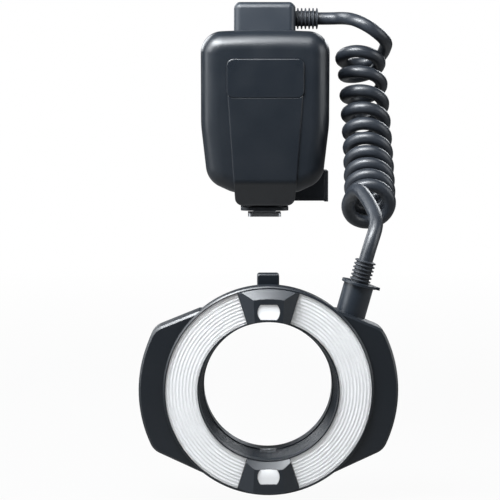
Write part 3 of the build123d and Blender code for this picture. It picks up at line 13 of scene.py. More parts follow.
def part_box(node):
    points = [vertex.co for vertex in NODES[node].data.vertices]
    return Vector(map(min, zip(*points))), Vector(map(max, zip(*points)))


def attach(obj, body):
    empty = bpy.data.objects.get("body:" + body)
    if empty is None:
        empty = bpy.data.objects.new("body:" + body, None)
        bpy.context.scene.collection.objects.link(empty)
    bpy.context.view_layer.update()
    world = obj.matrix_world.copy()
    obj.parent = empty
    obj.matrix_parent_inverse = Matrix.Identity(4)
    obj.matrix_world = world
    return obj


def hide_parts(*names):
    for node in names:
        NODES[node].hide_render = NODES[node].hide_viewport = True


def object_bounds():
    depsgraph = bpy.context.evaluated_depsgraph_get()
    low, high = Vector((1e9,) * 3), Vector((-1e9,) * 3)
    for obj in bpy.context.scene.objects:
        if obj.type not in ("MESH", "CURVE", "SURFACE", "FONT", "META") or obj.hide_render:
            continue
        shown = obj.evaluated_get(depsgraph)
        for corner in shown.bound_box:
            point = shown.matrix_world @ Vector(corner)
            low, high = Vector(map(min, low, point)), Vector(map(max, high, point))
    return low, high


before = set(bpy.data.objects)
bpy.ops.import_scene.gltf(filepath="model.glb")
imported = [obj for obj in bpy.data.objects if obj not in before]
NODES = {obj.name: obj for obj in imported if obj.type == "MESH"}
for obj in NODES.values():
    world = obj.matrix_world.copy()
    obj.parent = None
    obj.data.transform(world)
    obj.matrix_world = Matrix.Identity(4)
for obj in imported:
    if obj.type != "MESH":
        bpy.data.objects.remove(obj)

bl_info = {
    "name": "Macro ring flash",
    "version": (1, 0, 0),
    "blender": (4, 5, 0),
    "location": "3D View > Sidebar > Ring flash",
    "description": "Finishes, cord and small parts of a macro ring flash around its packed frame",
    "category": "Object",
}

CAD_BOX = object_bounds()
UNIT = "control_unit"

# Places repeated from the part's source, in metres
HEAD_FRONT = -0.150
HEAD_HEIGHT = -0.075
BOOT_LENGTH_UPPER = 0.01284
BOOT_LENGTH_LOWER = 0.01116
OUTLET_SIDE = 0.0172
UPPER_BOOT_HEIGHT = 0.1113
TOWER_TILT = 15.6
TOWER_FLANGE = Vector((0.0448, -0.134, -0.0241))
TOWER_FLANGE_HALF = 0.00065
UPPER_ROUTE = [
    (0.0439, -0.0042, 0.1114),
    (0.0495, -0.0173, 0.1101),
    (0.0577, -0.0213, 0.1058),
    (0.0653, -0.0177, 0.1002),
]
LOWER_ROUTE = [
    (0.0535, -0.1168, 0.0104),
    (0.0540, -0.1277, 0.0046),
]
UPPER_EXIT_RUN = 0.0076
UPPER_ENTRY_RUN = 0.0046
LOWER_EXIT_RUN = 0.0118
LOWER_ENTRY_RUN = 0.0071
STRAIGHT_END = 0.007
COIL_POLES = [(0.0535, 0.002, 0.0993), (0.0584, -0.0142, 0.0388), (0.0546, -0.0741, 0.0064)]
COIL_CROWDING = 0.262
COIL_ENTRY_TURNS = 0.75
COIL_ENTRY_SAG = 0.0071
COIL_ENTRY_SPREAD = 0.0032
COIL_EXIT_SHIFT = 0.0028
EXIT_PLACE = Vector((0.0443, -0.0795, 0.0157))
EXIT_DIRECTION = Vector((0.142, -0.938, 0.316)).normalized()
TURN_STEP = 0.001

# Keys that share one finish
KEYS = [f"function_button_{number}" for number in range(1, 5)]
KEYS += ["mode_button", "lamp_button", "menu_button", "test_button", "set_button"]

# Nearly all values of a noise texture lie between these two
NOISE_LOW = 0.3
NOISE_HIGH = 0.7

# Finishes, with lengths in metres
WHITE = (1.0, 1.0, 1.0, 1.0)
WINDOW_IOR = 1.49
RIB_HALF_PITCH = 0.0009
RIB_DEPTH = 0.000002
MILKY_DEPTH = 0.004
# Strength of the painted glow of the unlit diffusers
DIFFUSER_PAINTED_GLOW = 0.12
# Lamp covers: width of their painted shade towards the rim, and strength of their painted glow
COVER_SHADE_FADE = 0.010
COVER_SIDE_SHARE = 0.6
COVER_PAINTED_GLOW = 0.15
TRACES_PER_METRE = 420
DOTS_PER_METRE = 2200

# Small parts made here, in metres
BAFFLE_DEPTH = 0.0055
BAFFLE_FACETS = 96
BAFFLE_SECTION_FACETS = 6
SCREW_RECESS = {"Length": 0.0021, "Width": 0.00045, "Depth": 0.00012}
SCREW_REAR_BAND = 1e-5

# Stage: the floor turns white for the camera between two distances from the origin
FLOOR_HALF = 3.0
FLOOR_COLOUR = (0.15, 0.15, 0.15)
WHITE_STARTS = 0.3
WHITE_FULL = 1.0
WHITE_AT_START = 0.95
SENSOR_WIDTH = 36.0
CLIP_END = 20.0
LAMP_COLOUR = (0.94, 0.97, 1.0)
MIDDLE = (0.0, -0.05, 0.0)
# Each lamp: name, place, target, size, the setting that powers it, and its share of that power
SOFTBOXES = (
    ("key_softbox", (-0.14, -0.24, 0.32), (0.0, -0.03, 0.09), (0.25, 0.12), "side_power", 0.32),
    ("left_softbox", (-0.80, -0.45, 0.55), MIDDLE, (0.50, 0.8), "side_power", 1.0),
    ("left_rim_softbox", (-0.90, -0.10, 0.05), MIDDLE, (0.30, 0.9), "side_power", 0.25),
    ("right_rim_softbox", (0.90, -0.10, 0.10), MIDDLE, (0.25, 0.9), "side_power", 0.15),
    ("right_softbox", (1.05, -0.50, 0.30), MIDDLE, (0.30, 0.7), "side_power", 0.3),
    ("top_softbox", (-0.10, -0.45, 0.90), (0.0, 0.0, 0.08), (0.7, 0.5), "top_power", 1.0),
    ("rear_left_softbox", (-0.70, 0.80, 0.55), MIDDLE, (0.6, 0.7), "side_power", 0.8),
    ("rear_right_softbox", (0.55, 0.95, 0.55), MIDDLE, (0.5, 0.5), "side_power", 0.5),
)

# Each metal: name, colour, roughness, stretch of its lines, and the nodes that have it
METALS = (
    ("foot_steel", (0.50, 0.51, 0.53), 0.30, (1, 30, 1), ["shoe_foot"]),
    (
        "bright_steel",
        (0.58, 0.59, 0.61),
        0.26,
        (20, 1, 1),
        [
            "battery_door_hinge_pin",
            "unit_screws",
            "head_screws",
            "lock_pin",
            "head_latch_slide",
            "head_latch_spring",
        ],
    ),
    (
        "contact_brass",
        (0.78, 0.60, 0.28),
        0.28,
        (1, 20, 1),
        ["shoe_contacts", "battery_contacts", "door_contacts"],
    ),
    ("anodised_ring", (0.06, 0.065, 0.075), 0.34, (1, 40, 1), ["mount_ring"]),
    (
        "reflector_sheet",
        (0.90, 0.90, 0.91),
        0.14,
        (1, 1, 20),
        ["left_reflector", "right_reflector", "lamp_reflectors"],
    ),
)


class StageSettings(bpy.types.PropertyGroup):
    """Camera, floor and lamps."""

    camera_place: FloatVectorProperty(
        name="Camera place",
        description="Where the camera stands",
        default=(-0.0134, -0.9611, 0.0675),
        unit="LENGTH",
        subtype="XYZ",
    )
    camera_pitch: FloatProperty(
        name="Camera pitch",
        description="How far the camera looks down",
        default=radians(5.18),
        unit="ROTATION",
    )
    camera_yaw: FloatProperty(
        name="Camera yaw",
        description="How far the camera looks to the right",
        default=radians(0.31),
        unit="ROTATION",
    )
    camera_lens: FloatProperty(
        name="Focal length", description="Focal length in millimetres", default=121.82, min=20.0
    )
    floor_gap: FloatProperty(
        name="Floor gap",
        description="Height of the part over the floor",
        default=0.004,
        unit="LENGTH",
    )
    side_power: FloatProperty(
        name="Side lamp power",
        description="Power of the left lamp in watts, of which the other side lamps have a share",
        default=12.0,
        min=0.0,
    )
    top_power: FloatProperty(
        name="Top lamp power", description="Power of the top lamp in watts", default=8.0, min=0.0
    )
    world_strength: FloatProperty(
        name="World strength", description="Brightness of the surroundings", default=0.05, min=0.0
    )


class FinishSettings(bpy.types.PropertyGroup):
    """Colours and grain of the finishes."""

    shell_colour: FloatVectorProperty(
        name="Shell colour",
        description="Colour of the charcoal mouldings",
        default=(0.0066, 0.0090, 0.0125),
        subtype="COLOR",
        size=3,
        min=0.0,
        max=1.0,
    )
    rubber_colour: FloatVectorProperty(
        name="Rubber colour",
        description="Colour of boots, skirt and cord",
        default=(0.0130, 0.0160, 0.0210),
        subtype="COLOR",
        size=3,
        min=0.0,
        max=1.0,
    )
    diffuser_colour: FloatVectorProperty(
        name="Diffuser colour",
        description="Colour of the ribbed diffusers",
        default=(0.66, 0.662, 0.668),
        subtype="COLOR",
        size=3,
        min=0.0,
        max=1.0,
    )
    grain_size: FloatProperty(
        name="Grain size", description="Size of the mouldings' grain", default=0.0005, unit="LENGTH"
    )
    edge_radius: FloatProperty(
        name="Edge radius",
        description="How softly shaded edges are broken",
        default=0.0004,
        unit="LENGTH",
    )


class CordSettings(bpy.types.PropertyGroup):
    """The coiled cord."""

    diameter: FloatProperty(
        name="Diameter", description="Diameter of the cord", default=0.007, unit="LENGTH"
    )
    coil_radius: FloatProperty(
        name="Coil radius",
        description="Radius of the coil's middle line",
        default=0.01025,
        unit="LENGTH",
    )
    turns: FloatProperty(
        name="Turns", description="Turns that the coil is laid out in", default=11.0
    )
    wound_turns: FloatProperty(name="Wound turns", description="Turns that are wound", default=10.5)
    points_per_turn: IntProperty(
        name="Points per turn", description="Control points in each turn", default=16, min=12
    )


class BaffleSettings(bpy.types.PropertyGroup):
    """Fine rings inside the head's eye."""

    count: IntProperty(name="Count", description="Number of rings", default=12, min=1)
    pitch: FloatProperty(
        name="Pitch", description="Distance between rings", default=0.00092, unit="LENGTH"
    )
    first_radius: FloatProperty(
        name="First radius", description="Radius of the front ring", default=0.0338, unit="LENGTH"
    )
    taper: FloatProperty(
        name="Taper", description="How much each ring is smaller, as a share", default=0.0033
    )
    section: FloatProperty(
        name="Section", description="Radius of a ring's section", default=0.00022, unit="LENGTH"
    )


# Materials


def grown_from(colour, share):
    """A colour with each channel multiplied by a share, and full alpha."""
    return tuple(min(channel * share, 1.0) for channel in colour[:3]) + (1.0,)


def new_material(name):
    """An empty material with its Principled shader and the piece's own coordinates."""
    material = bpy.data.materials.new(name)
    material.use_nodes = True
    nodes = material.node_tree.nodes
    shader = nodes["Principled BSDF"]
    place = nodes.new("ShaderNodeTexCoord")
    return material, nodes, material.node_tree.links, shader, place.outputs["Object"]


def noise(nodes, links, place, size, detail=3.0, stretch=(1, 1, 1)):
    """A noise texture with features of about the given size in metres."""
    mapping = nodes.new("ShaderNodeMapping")
    mapping.inputs["Scale"].default_value = [1 / (size * share) for share in stretch]
    texture = nodes.new("ShaderNodeTexNoise")
    texture.inputs["Scale"].default_value = 1.0
    texture.inputs["Detail"].default_value = detail
    links.new(place, mapping.inputs["Vector"])
    links.new(mapping.outputs["Vector"], texture.inputs["Vector"])
    return texture.outputs["Fac"]


def spread(nodes, links, value, low, high):
    """The noise value mapped to a range."""
    ramp = nodes.new("ShaderNodeMapRange")
    ramp.inputs["From Min"].default_value = NOISE_LOW
    ramp.inputs["From Max"].default_value = NOISE_HIGH
    ramp.inputs["To Min"].default_value = low
    ramp.inputs["To Max"].default_value = high
    links.new(value, ramp.inputs["Value"])
    return ramp.outputs["Result"]


def tinted(nodes, links, value, colour, low=0.82, high=1.2):
    """A colour that a noise value makes darker and lighter."""
    ramp = nodes.new("ShaderNodeValToRGB")
    ramp.color_ramp.elements[0].position = NOISE_LOW
    ramp.color_ramp.elements[0].color = grown_from(colour, low)
    ramp.color_ramp.elements[1].position = NOISE_HIGH
    ramp.color_ramp.elements[1].color = grown_from(colour, high)
    links.new(value, ramp.inputs["Fac"])
    return ramp.outputs["Color"]


def bumped(nodes, links, shader, value, depth, edge_radius=None):
    """Relief of a depth in metres, laid over edges that are softly broken."""
    bump = nodes.new("ShaderNodeBump")
    bump.inputs["Strength"].default_value = 1.0
    bump.inputs["Distance"].default_value = depth
    links.new(value, bump.inputs["Height"])
    if edge_radius:
        bevel = nodes.new("ShaderNodeBevel")
        bevel.samples = 4
        bevel.inputs["Radius"].default_value = edge_radius
        links.new(bevel.outputs["Normal"], bump.inputs["Normal"])
    links.new(bump.outputs["Normal"], shader.inputs["Normal"])


def head_reach(nodes, links, place, across=1.0):
    """Distance from the head's axis, with its sideways part multiplied by a share."""
    mapping = nodes.new("ShaderNodeMapping")
    mapping.inputs["Location"].default_value = (0, 0, -HEAD_HEIGHT)
    mapping.inputs["Scale"].default_value = (across, 0, 1)
    links.new(place, mapping.inputs["Vector"])
    reach = nodes.new("ShaderNodeVectorMath")
    reach.operation = "LENGTH"
    links.new(mapping.outputs["Vector"], reach.inputs[0])
    return reach.outputs["Value"]


def moulded_plastic(name, colour, roughness, grain_size, grain_depth, edge_radius):
    """Injection-moulded plastic: fine spark-eroded grain over faint cloudy variation."""
    material, nodes, links, shader, place = new_material(name)
    grain = noise(nodes, links, place, grain_size, detail=4.0)
    cloud = noise(nodes, links, place, 40 * grain_size)
    links.new(tinted(nodes, links, grain, colour), shader.inputs["Base Color"])
    links.new(
        spread(nodes, links, cloud, roughness - 0.04, roughness + 0.06), shader.inputs["Roughness"]
    )
    bumped(nodes, links, shader, grain, grain_depth, edge_radius)
    return material


def rubber(name, colour, roughness, edge_radius):
    """Soft moulded rubber with a dull, slightly dusty surface."""
    material, nodes, links, shader, place = new_material(name)
    dust = noise(nodes, links, place, 0.003, detail=5.0)
    fine = noise(nodes, links, place, 0.0003)
    links.new(tinted(nodes, links, dust, colour, 0.85, 1.35), shader.inputs["Base Color"])
    links.new(
        spread(nodes, links, fine, roughness - 0.05, roughness + 0.08), shader.inputs["Roughness"]
    )
    bumped(nodes, links, shader, fine, 0.00002, edge_radius)
    return material


def cord_jacket(name, colour):
    """Satin jacket of the coiled cord."""
    material, nodes, links, shader, place = new_material(name)
    haze = noise(nodes, links, place, 0.006, detail=4.0)
    fine = noise(nodes, links, place, 0.0004)
    links.new(tinted(nodes, links, haze, colour, 0.85, 1.3), shader.inputs["Base Color"])
    links.new(spread(nodes, links, fine, 0.33, 0.45), shader.inputs["Roughness"])
    bumped(nodes, links, shader, fine, 0.00001)
    return material


def brushed_metal(name, colour, roughness, stretch):
    """Metal with fine lines along one direction."""
    material, nodes, links, shader, place = new_material(name)
    lines = noise(nodes, links, place, 0.0003, detail=4.0, stretch=stretch)
    shader.inputs["Metallic"].default_value = 1.0
    links.new(tinted(nodes, links, lines, colour, 0.85, 1.1), shader.inputs["Base Color"])
    links.new(
        spread(nodes, links, lines, roughness - 0.06, roughness + 0.1), shader.inputs["Roughness"]
    )
    bumped(nodes, links, shader, lines, 0.000008, 0.00015)
    return material


def ribbed_diffuser(name, colour):
    """Milky acrylic of the diffusers, with fine concentric rings of painted rib shade between their
    ridges and a painted glow.
    """
    material, nodes, links, shader, place = new_material(name)
    wave = nodes.new("ShaderNodeMath")
    wave.operation = "PINGPONG"
    wave.inputs[1].default_value = RIB_HALF_PITCH
    links.new(head_reach(nodes, links, place), wave.inputs[0])
    share = nodes.new("ShaderNodeMath")
    share.operation = "MULTIPLY"
    share.inputs[1].default_value = 1 / RIB_HALF_PITCH
    links.new(wave.outputs["Value"], share.inputs[0])
    # Painted shade: the rings make the colour slightly darker between the ridges
    links.new(
        tinted(nodes, links, share.outputs["Value"], colour, 0.99, 1.0), shader.inputs["Base Color"]
    )
    shader.inputs["Roughness"].default_value = 0.6
    shader.inputs["Specular IOR Level"].default_value = 0.25
    shader.inputs["Subsurface Weight"].default_value = 1.0
    shader.inputs["Subsurface Radius"].default_value = (MILKY_DEPTH,) * 3
    shader.inputs["Subsurface Scale"].default_value = 1.0
    # Painted glow: the unlit diffusers give off light of their own
    shader.inputs["Emission Color"].default_value = WHITE
    shader.inputs["Emission Strength"].default_value = DIFFUSER_PAINTED_GLOW
    bumped(nodes, links, shader, share.outputs["Value"], RIB_DEPTH, 0.0004)
    return material


def clear_glass(name, colour, roughness, transmission):
    """Clear moulded window glass with a faint waviness."""
    material, nodes, links, shader, place = new_material(name)
    wave = noise(nodes, links, place, 0.004)
    links.new(tinted(nodes, links, wave, colour, 0.95, 1.0), shader.inputs["Base Color"])
    shader.inputs["Transmission Weight"].default_value = transmission
    shader.inputs["Roughness"].default_value = roughness
    shader.inputs["IOR"].default_value = WINDOW_IOR
    bumped(nodes, links, shader, wave, 0.00001, 0.0002)
    return material


def lamp_cover(name, colour, outer_reach):
    """Clear moulded cover over a bright reflector, with painted shade that darkens its colour
    towards the rim of the head and a painted glow.
    """
    material, nodes, links, shader, place = new_material(name)
    depth = nodes.new("ShaderNodeMapRange")
    depth.inputs["From Min"].default_value = outer_reach - COVER_SHADE_FADE
    depth.inputs["From Max"].default_value = outer_reach
    links.new(head_reach(nodes, links, place, COVER_SIDE_SHARE), depth.inputs["Value"])
    # Painted shade: the colour darkens to 0.7 of itself towards the rim of the head
    links.new(
        tinted(nodes, links, depth.outputs["Result"], colour, 1.0, 0.70),
        shader.inputs["Base Color"],
    )
    shader.inputs["Transmission Weight"].default_value = 0.3
    # Painted glow: the unlit cover gives off light of its own
    shader.inputs["Emission Color"].default_value = WHITE
    shader.inputs["Emission Strength"].default_value = COVER_PAINTED_GLOW
    shader.inputs["Roughness"].default_value = 0.08
    shader.inputs["IOR"].default_value = WINDOW_IOR
    bumped(nodes, links, shader, noise(nodes, links, place, 0.002), 0.00006, 0.0004)
    return material


def circuit_board(name, colour):
    """Solder-masked board with traces that show through the mask."""
    material, nodes, links, shader, place = new_material(name)
    mapping = nodes.new("ShaderNodeMapping")
    mapping.inputs["Scale"].default_value = (TRACES_PER_METRE,) * 3
    links.new(place, mapping.inputs["Vector"])
    bricks = nodes.new("ShaderNodeTexBrick")
    bricks.inputs["Color1"].default_value = grown_from(colour, 0.9)
    bricks.inputs["Color2"].default_value = grown_from(colour, 1.15)
    bricks.inputs["Mortar"].default_value = grown_from(colour, 2.0)
    bricks.inputs["Scale"].default_value = 0.6
    links.new(mapping.outputs["Vector"], bricks.inputs["Vector"])
    links.new(bricks.outputs["Color"], shader.inputs["Base Color"])
    shader.inputs["Roughness"].default_value = 0.35
    bumped(nodes, links, shader, bricks.outputs["Fac"], 0.00002)
    return material


def display_film(name, colour):
    """Grey-green display with its fine dot grid."""
    material, nodes, links, shader, place = new_material(name)
    mapping = nodes.new("ShaderNodeMapping")
    mapping.inputs["Scale"].default_value = (DOTS_PER_METRE, 1, DOTS_PER_METRE)
    links.new(place, mapping.inputs["Vector"])
    checker = nodes.new("ShaderNodeTexChecker")
    checker.inputs["Color1"].default_value = grown_from(colour, 0.93)
    checker.inputs["Color2"].default_value = grown_from(colour, 1.0)
    checker.inputs["Scale"].default_value = 1.0
    links.new(mapping.outputs["Vector"], checker.inputs["Vector"])
    links.new(checker.outputs["Color"], shader.inputs["Base Color"])
    shader.inputs["Roughness"].default_value = 0.5
    return material


def finish_nodes(material, names):
    """Gives CAD nodes their finish."""
    for name in names:
        piece = NODES[name]
        piece.data.materials.clear()
        piece.data.materials.append(material)


# Helpers for new pieces


def link_piece(piece, body=UNIT):
    """Puts a finished piece in the scene and on its body."""
    bpy.context.scene.collection.objects.link(piece)
    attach(piece, body)
    return piece


def tree_with_inputs(name, sizes):
    """A geometry node tree with a named float or whole-number input for each size."""
    tree = bpy.data.node_groups.new(name, "GeometryNodeTree")
    tree.interface.new_socket("Geometry", in_out="OUTPUT", socket_type="NodeSocketGeometry")
    for label, value in sizes.items():
        kind = "NodeSocketInt" if isinstance(value, int) else "NodeSocketFloat"
        socket = tree.interface.new_socket(label, in_out="INPUT", socket_type=kind)
        socket.default_value = value
    return tree


def close_tree(tree, geometry, material):
    """Ends a tree in Realize Instances and Set Material."""
    realize = tree.nodes.new("GeometryNodeRealizeInstances")
    paint = tree.nodes.new("GeometryNodeSetMaterial")
    paint.inputs["Material"].default_value = material
    out = tree.nodes.new("NodeGroupOutput")
    tree.links.new(geometry, realize.inputs["Geometry"])
    tree.links.new(realize.outputs["Geometry"], paint.inputs["Geometry"])
    tree.links.new(paint.outputs["Geometry"], out.inputs["Geometry"])


def grown_mesh(tree, name, sizes, place):
    """Runs a tree once and returns its result as a plain mesh piece, moved to its place."""
    seed_mesh = bpy.data.meshes.new(name + "_seed")
    maker = bpy.data.objects.new(name + "_maker", seed_mesh)
    bpy.context.scene.collection.objects.link(maker)
    modifier = maker.modifiers.new("Grow", "NODES")
    modifier.node_group = tree
    for socket in tree.interface.items_tree:
        if socket.in_out == "INPUT" and socket.name in sizes:
            modifier[socket.identifier] = sizes[socket.name]
    graph = bpy.context.evaluated_depsgraph_get()
    mesh = bpy.data.meshes.new_from_object(maker.evaluated_get(graph))
    mesh.name = name
    mesh.transform(place)
    bpy.data.objects.remove(maker)
    return bpy.data.objects.new(name, mesh)


def screw_heads(node, low, high):
    """The middles of the screw heads of a node, on their rear faces."""
    vertices = NODES[node].data.vertices
    rear = [vertex.co for vertex in vertices if vertex.co.y > high.y - SCREW_REAR_BAND]
    groups = {}
    for place in rear:
        key = (place.x > (low.x + high.x) / 2, place.z > (low.z + high.z) / 2)
        groups.setdefault(key, []).append(place)
    return [
        Vector(
            (
                (min(p.x for p in group) + max(p.x for p in group)) / 2,
                high.y,
                (min(p.z for p in group) + max(p.z for p in group)) / 2,
            )
        )
        for group in groups.values()
    ]


def join_copies(mesh, source, places):
    """Fills a mesh with a copy of a source mesh at each place."""
    corners = [vertex.co for vertex in source.vertices]
    faces = [tuple(face.vertices) for face in source.polygons]
    all_corners = []
    all_faces = []
    for place in places:
        offset = len(all_corners)
        all_corners += [tuple(corner + place) for corner in corners]
        all_faces += [tuple(index + offset for index in face) for face in faces]
    mesh.from_pydata(all_corners, [], all_faces)


# Cord


def coil_place(settings, turn):
    """The middle of the cord in the coil after a number of turns."""
    share = turn / settings.turns
    t = share + COIL_CROWDING * share * (1 - share)
    top, bend, foot = [Vector(pole) for pole in COIL_POLES]
    middle = top * (1 - t) ** 2 + bend * (2 * t * (1 - t)) + foot * t**2
    along = (bend - top) * (1 - t) + (foot - bend) * t
    up = Vector((0, along.z, -along.y)).normalized()
    radius = settings.coil_radius
    if turn < COIL_ENTRY_TURNS:
        entry = turn / COIL_ENTRY_TURNS
        middle.z -= COIL_ENTRY_SAG * cos(pi / 2 * entry**1.5) ** 2
        radius += COIL_ENTRY_SPREAD * (1 - entry) ** 2
    if turn > settings.turns - 1:
        middle.x -= COIL_EXIT_SHIFT * ((turn - settings.turns + 1) / COIL_ENTRY_TURNS) ** 2
    # A spline of order 3 runs a little inside its points
    radius /= cos(pi / settings.points_per_turn)
    angle = -2 * pi * turn
    return middle + Vector((1, 0, 0)) * (radius * cos(angle)) + up * (radius * sin(angle))


def meeting_corners(start, start_direction, end, end_direction):
    """The two corners of the line that a smooth pair of arcs follows between two places."""
    chord = end - start
    spread = 2 * (1 - start_direction.dot(end_direction))
    pull = chord.dot(start_direction + end_direction)
    reach = (sqrt(pull**2 + spread * chord.dot(chord)) - pull) / spread
    return [start + start_direction * reach, end - end_direction * reach]


def cord_points(settings):
    """Control points of the whole cord, from the outlet's boot to the head's boot."""
    start = Vector((OUTLET_SIDE + BOOT_LENGTH_UPPER, 0, UPPER_BOOT_HEIGHT))
    tilt = radians(TOWER_TILT)
    tower_axis = Vector((sin(tilt), 0, cos(tilt)))
    end = TOWER_FLANGE + tower_axis * (TOWER_FLANGE_HALF + BOOT_LENGTH_LOWER)
    first = coil_place(settings, 0)
    arriving = (coil_place(settings, TURN_STEP) - first).normalized()
    entry = first - arriving * STRAIGHT_END
    points = [start, start + Vector((UPPER_EXIT_RUN, 0, 0))]
    points += [Vector(place) for place in UPPER_ROUTE]
    points += [entry - arriving * UPPER_ENTRY_RUN, entry]
    steps = round(settings.wound_turns * settings.points_per_turn)
    points += [coil_place(settings, step / settings.points_per_turn) for step in range(steps + 1)]
    last = points[-1]
    running = (last - coil_place(settings, settings.wound_turns - TURN_STEP)).normalized()
    points += [*meeting_corners(last, running, EXIT_PLACE, EXIT_DIRECTION), EXIT_PLACE]
    leaving = EXIT_PLACE + EXIT_DIRECTION * STRAIGHT_END
    points += [leaving + EXIT_DIRECTION * LOWER_EXIT_RUN]
    points += [Vector(place) for place in LOWER_ROUTE]
    points += [end + tower_axis * LOWER_ENTRY_RUN, end]
    return points


class RINGFLASH_OT_cord(bpy.types.Operator):
    """Make the coiled cord as one smooth line from boot to boot"""

    bl_idname = "ringflash.cord"
    bl_label = "Coiled cord"

    def execute(self, context):
        settings = context.scene.ringflash_cord
        finish = context.scene.ringflash_finish
        points = cord_points(settings)
        line = bpy.data.curves.new("coiled_cord", "CURVE")
        line.dimensions = "3D"
        line.resolution_u = 4
        line.bevel_depth = settings.diameter / 2
        line.bevel_resolution = 6
        spline = line.splines.new("NURBS")
        spline.points.add(len(points) - 1)
        for control, point in zip(spline.points, points):
            control.co = (*point, 1)
        spline.order_u = 3
        spline.use_endpoint_u = True
        line.materials.append(cord_jacket("cord_jacket", finish.rubber_colour))
        cord = link_piece(bpy.data.objects.new("coiled_cord", line))
        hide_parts("upper_cord_lead", "cord_coil", "lower_cord_lead")
        return {"FINISHED"}


class RINGFLASH_OT_shell_finish(bpy.types.Operator):
    """Give the charcoal mouldings of the unit and the head their grain"""

    bl_idname = "ringflash.shell_finish"
    bl_label = "Moulded shells"

    def execute(self, context):
        finish = context.scene.ringflash_finish
        colour = finish.shell_colour
        edge = finish.edge_radius
        # Each moulding: name, colour, roughness, grain size, grain depth, edge radius, nodes
        mouldings = (
            (
                "charcoal_shell",
                colour,
                0.33,
                finish.grain_size,
                0.000007,
                edge,
                [
                    "front_shell",
                    "rear_shell",
                    "battery_door",
                    "battery_tray",
                    "head_front_ring",
                    "head_rear_shell",
                    "head_release_button",
                    "lock_lever",
                ],
            ),
            # Painted light: the shell colour made 1.7 times lighter, standing in for the light that
            # falls on the cord housings
            (
                "cord_housing_plastic",
                grown_from(colour, 1.7),
                0.36,
                finish.grain_size,
                0.000007,
                edge,
                ["cord_outlet_housing", "head_cord_socket"],
            ),
            (
                "lamp_block_plastic",
                grown_from(colour, 1.3),
                0.44,
                0.0004,
                0.000006,
                edge,
                ["upper_lamp_block", "lower_lamp_block"],
            ),
            ("bare_name_plate", colour, 0.30, 0.0003, 0.000004, edge, ["front_name_plate"]),
            (
                "key_plastic",
                grown_from(colour, 1.5),
                0.42,
                0.0004,
                0.000012,
                0.0003,
                [*KEYS, "select_dial", "power_switch", "lock_release_button"],
            ),
            (
                "signal_lens",
                (0.03, 0.35, 0.08),
                0.22,
                0.0004,
                0.000004,
                0.0002,
                ["confirmation_lamp"],
            ),
        )
        for *finish_values, names in mouldings:
            finish_nodes(moulded_plastic(*finish_values), names)
        return {"FINISHED"}


class RINGFLASH_OT_rubber_finish(bpy.types.Operator):
    """Give boots, skirt, socket and cover their rubber"""

    bl_idname = "ringflash.rubber_finish"
    bl_label = "Rubber parts"

    def execute(self, context):
        finish = context.scene.ringflash_finish
        soft = rubber("soft_rubber", finish.rubber_colour, 0.55, finish.edge_radius)
        finish_nodes(
            soft, ["upper_cord_boot", "head_cord_boot", "shoe_skirt", "socket_body", "socket_cover"]
        )
        return {"FINISHED"}


class RINGFLASH_OT_metal_finish(bpy.types.Operator):
    """Give foot, pins, screws, contacts and rings their metal"""

    bl_idname = "ringflash.metal_finish"
    bl_label = "Metal parts"

    def execute(self, context):
        for *finish_values, names in METALS:
            finish_nodes(brushed_metal(*finish_values), names)
        return {"FINISHED"}


class RINGFLASH_OT_optics_finish(bpy.types.Operator):
    """Give diffusers, lamp windows, flash tubes and display window their clear finishes"""

    bl_idname = "ringflash.optics_finish"
    bl_label = "Optical parts"

    def execute(self, context):
        finish = context.scene.ringflash_finish
        milky = ribbed_diffuser("ribbed_diffuser", finish.diffuser_colour)
        finish_nodes(milky, ["left_diffuser", "right_diffuser"])
        low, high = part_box("lamp_lenses")
        outer_reach = max(high.z - HEAD_HEIGHT, HEAD_HEIGHT - low.z)
        window = lamp_cover("lamp_window", (0.96, 0.97, 0.98), outer_reach)
        finish_nodes(window, ["lamp_lenses"])
        quartz = clear_glass("quartz_tube", (0.93, 0.95, 0.97), 0.03, 0.9)
        finish_nodes(quartz, ["left_flash_tube", "right_flash_tube"])
        screen = clear_glass("display_window", (0.55, 0.58, 0.58), 0.04, 0.85)
        finish_nodes(screen, ["lcd_window"])
        emitter = moulded_plastic(
            "lamp_emitter", (0.90, 0.87, 0.72), 0.35, 0.0003, 0.000004, 0.0002
        )
        finish_nodes(emitter, ["lamp_emitters"])
        return {"FINISHED"}


class RINGFLASH_OT_electronics_finish(bpy.types.Operator):
    """Give boards, capacitor and display their finishes"""

    bl_idname = "ringflash.electronics_finish"
    bl_label = "Boards, capacitor and display"

    def execute(self, context):
        board = circuit_board("green_board", (0.02, 0.13, 0.05))
        finish_nodes(board, ["main_board", "control_board", "head_board"])
        sleeve = rubber("capacitor_sleeve", (0.02, 0.02, 0.024), 0.3, 0.0003)
        finish_nodes(sleeve, ["main_capacitor"])
        film = display_film("display_film", (0.33, 0.38, 0.31))
        finish_nodes(film, ["lcd_panel"])
        return {"FINISHED"}


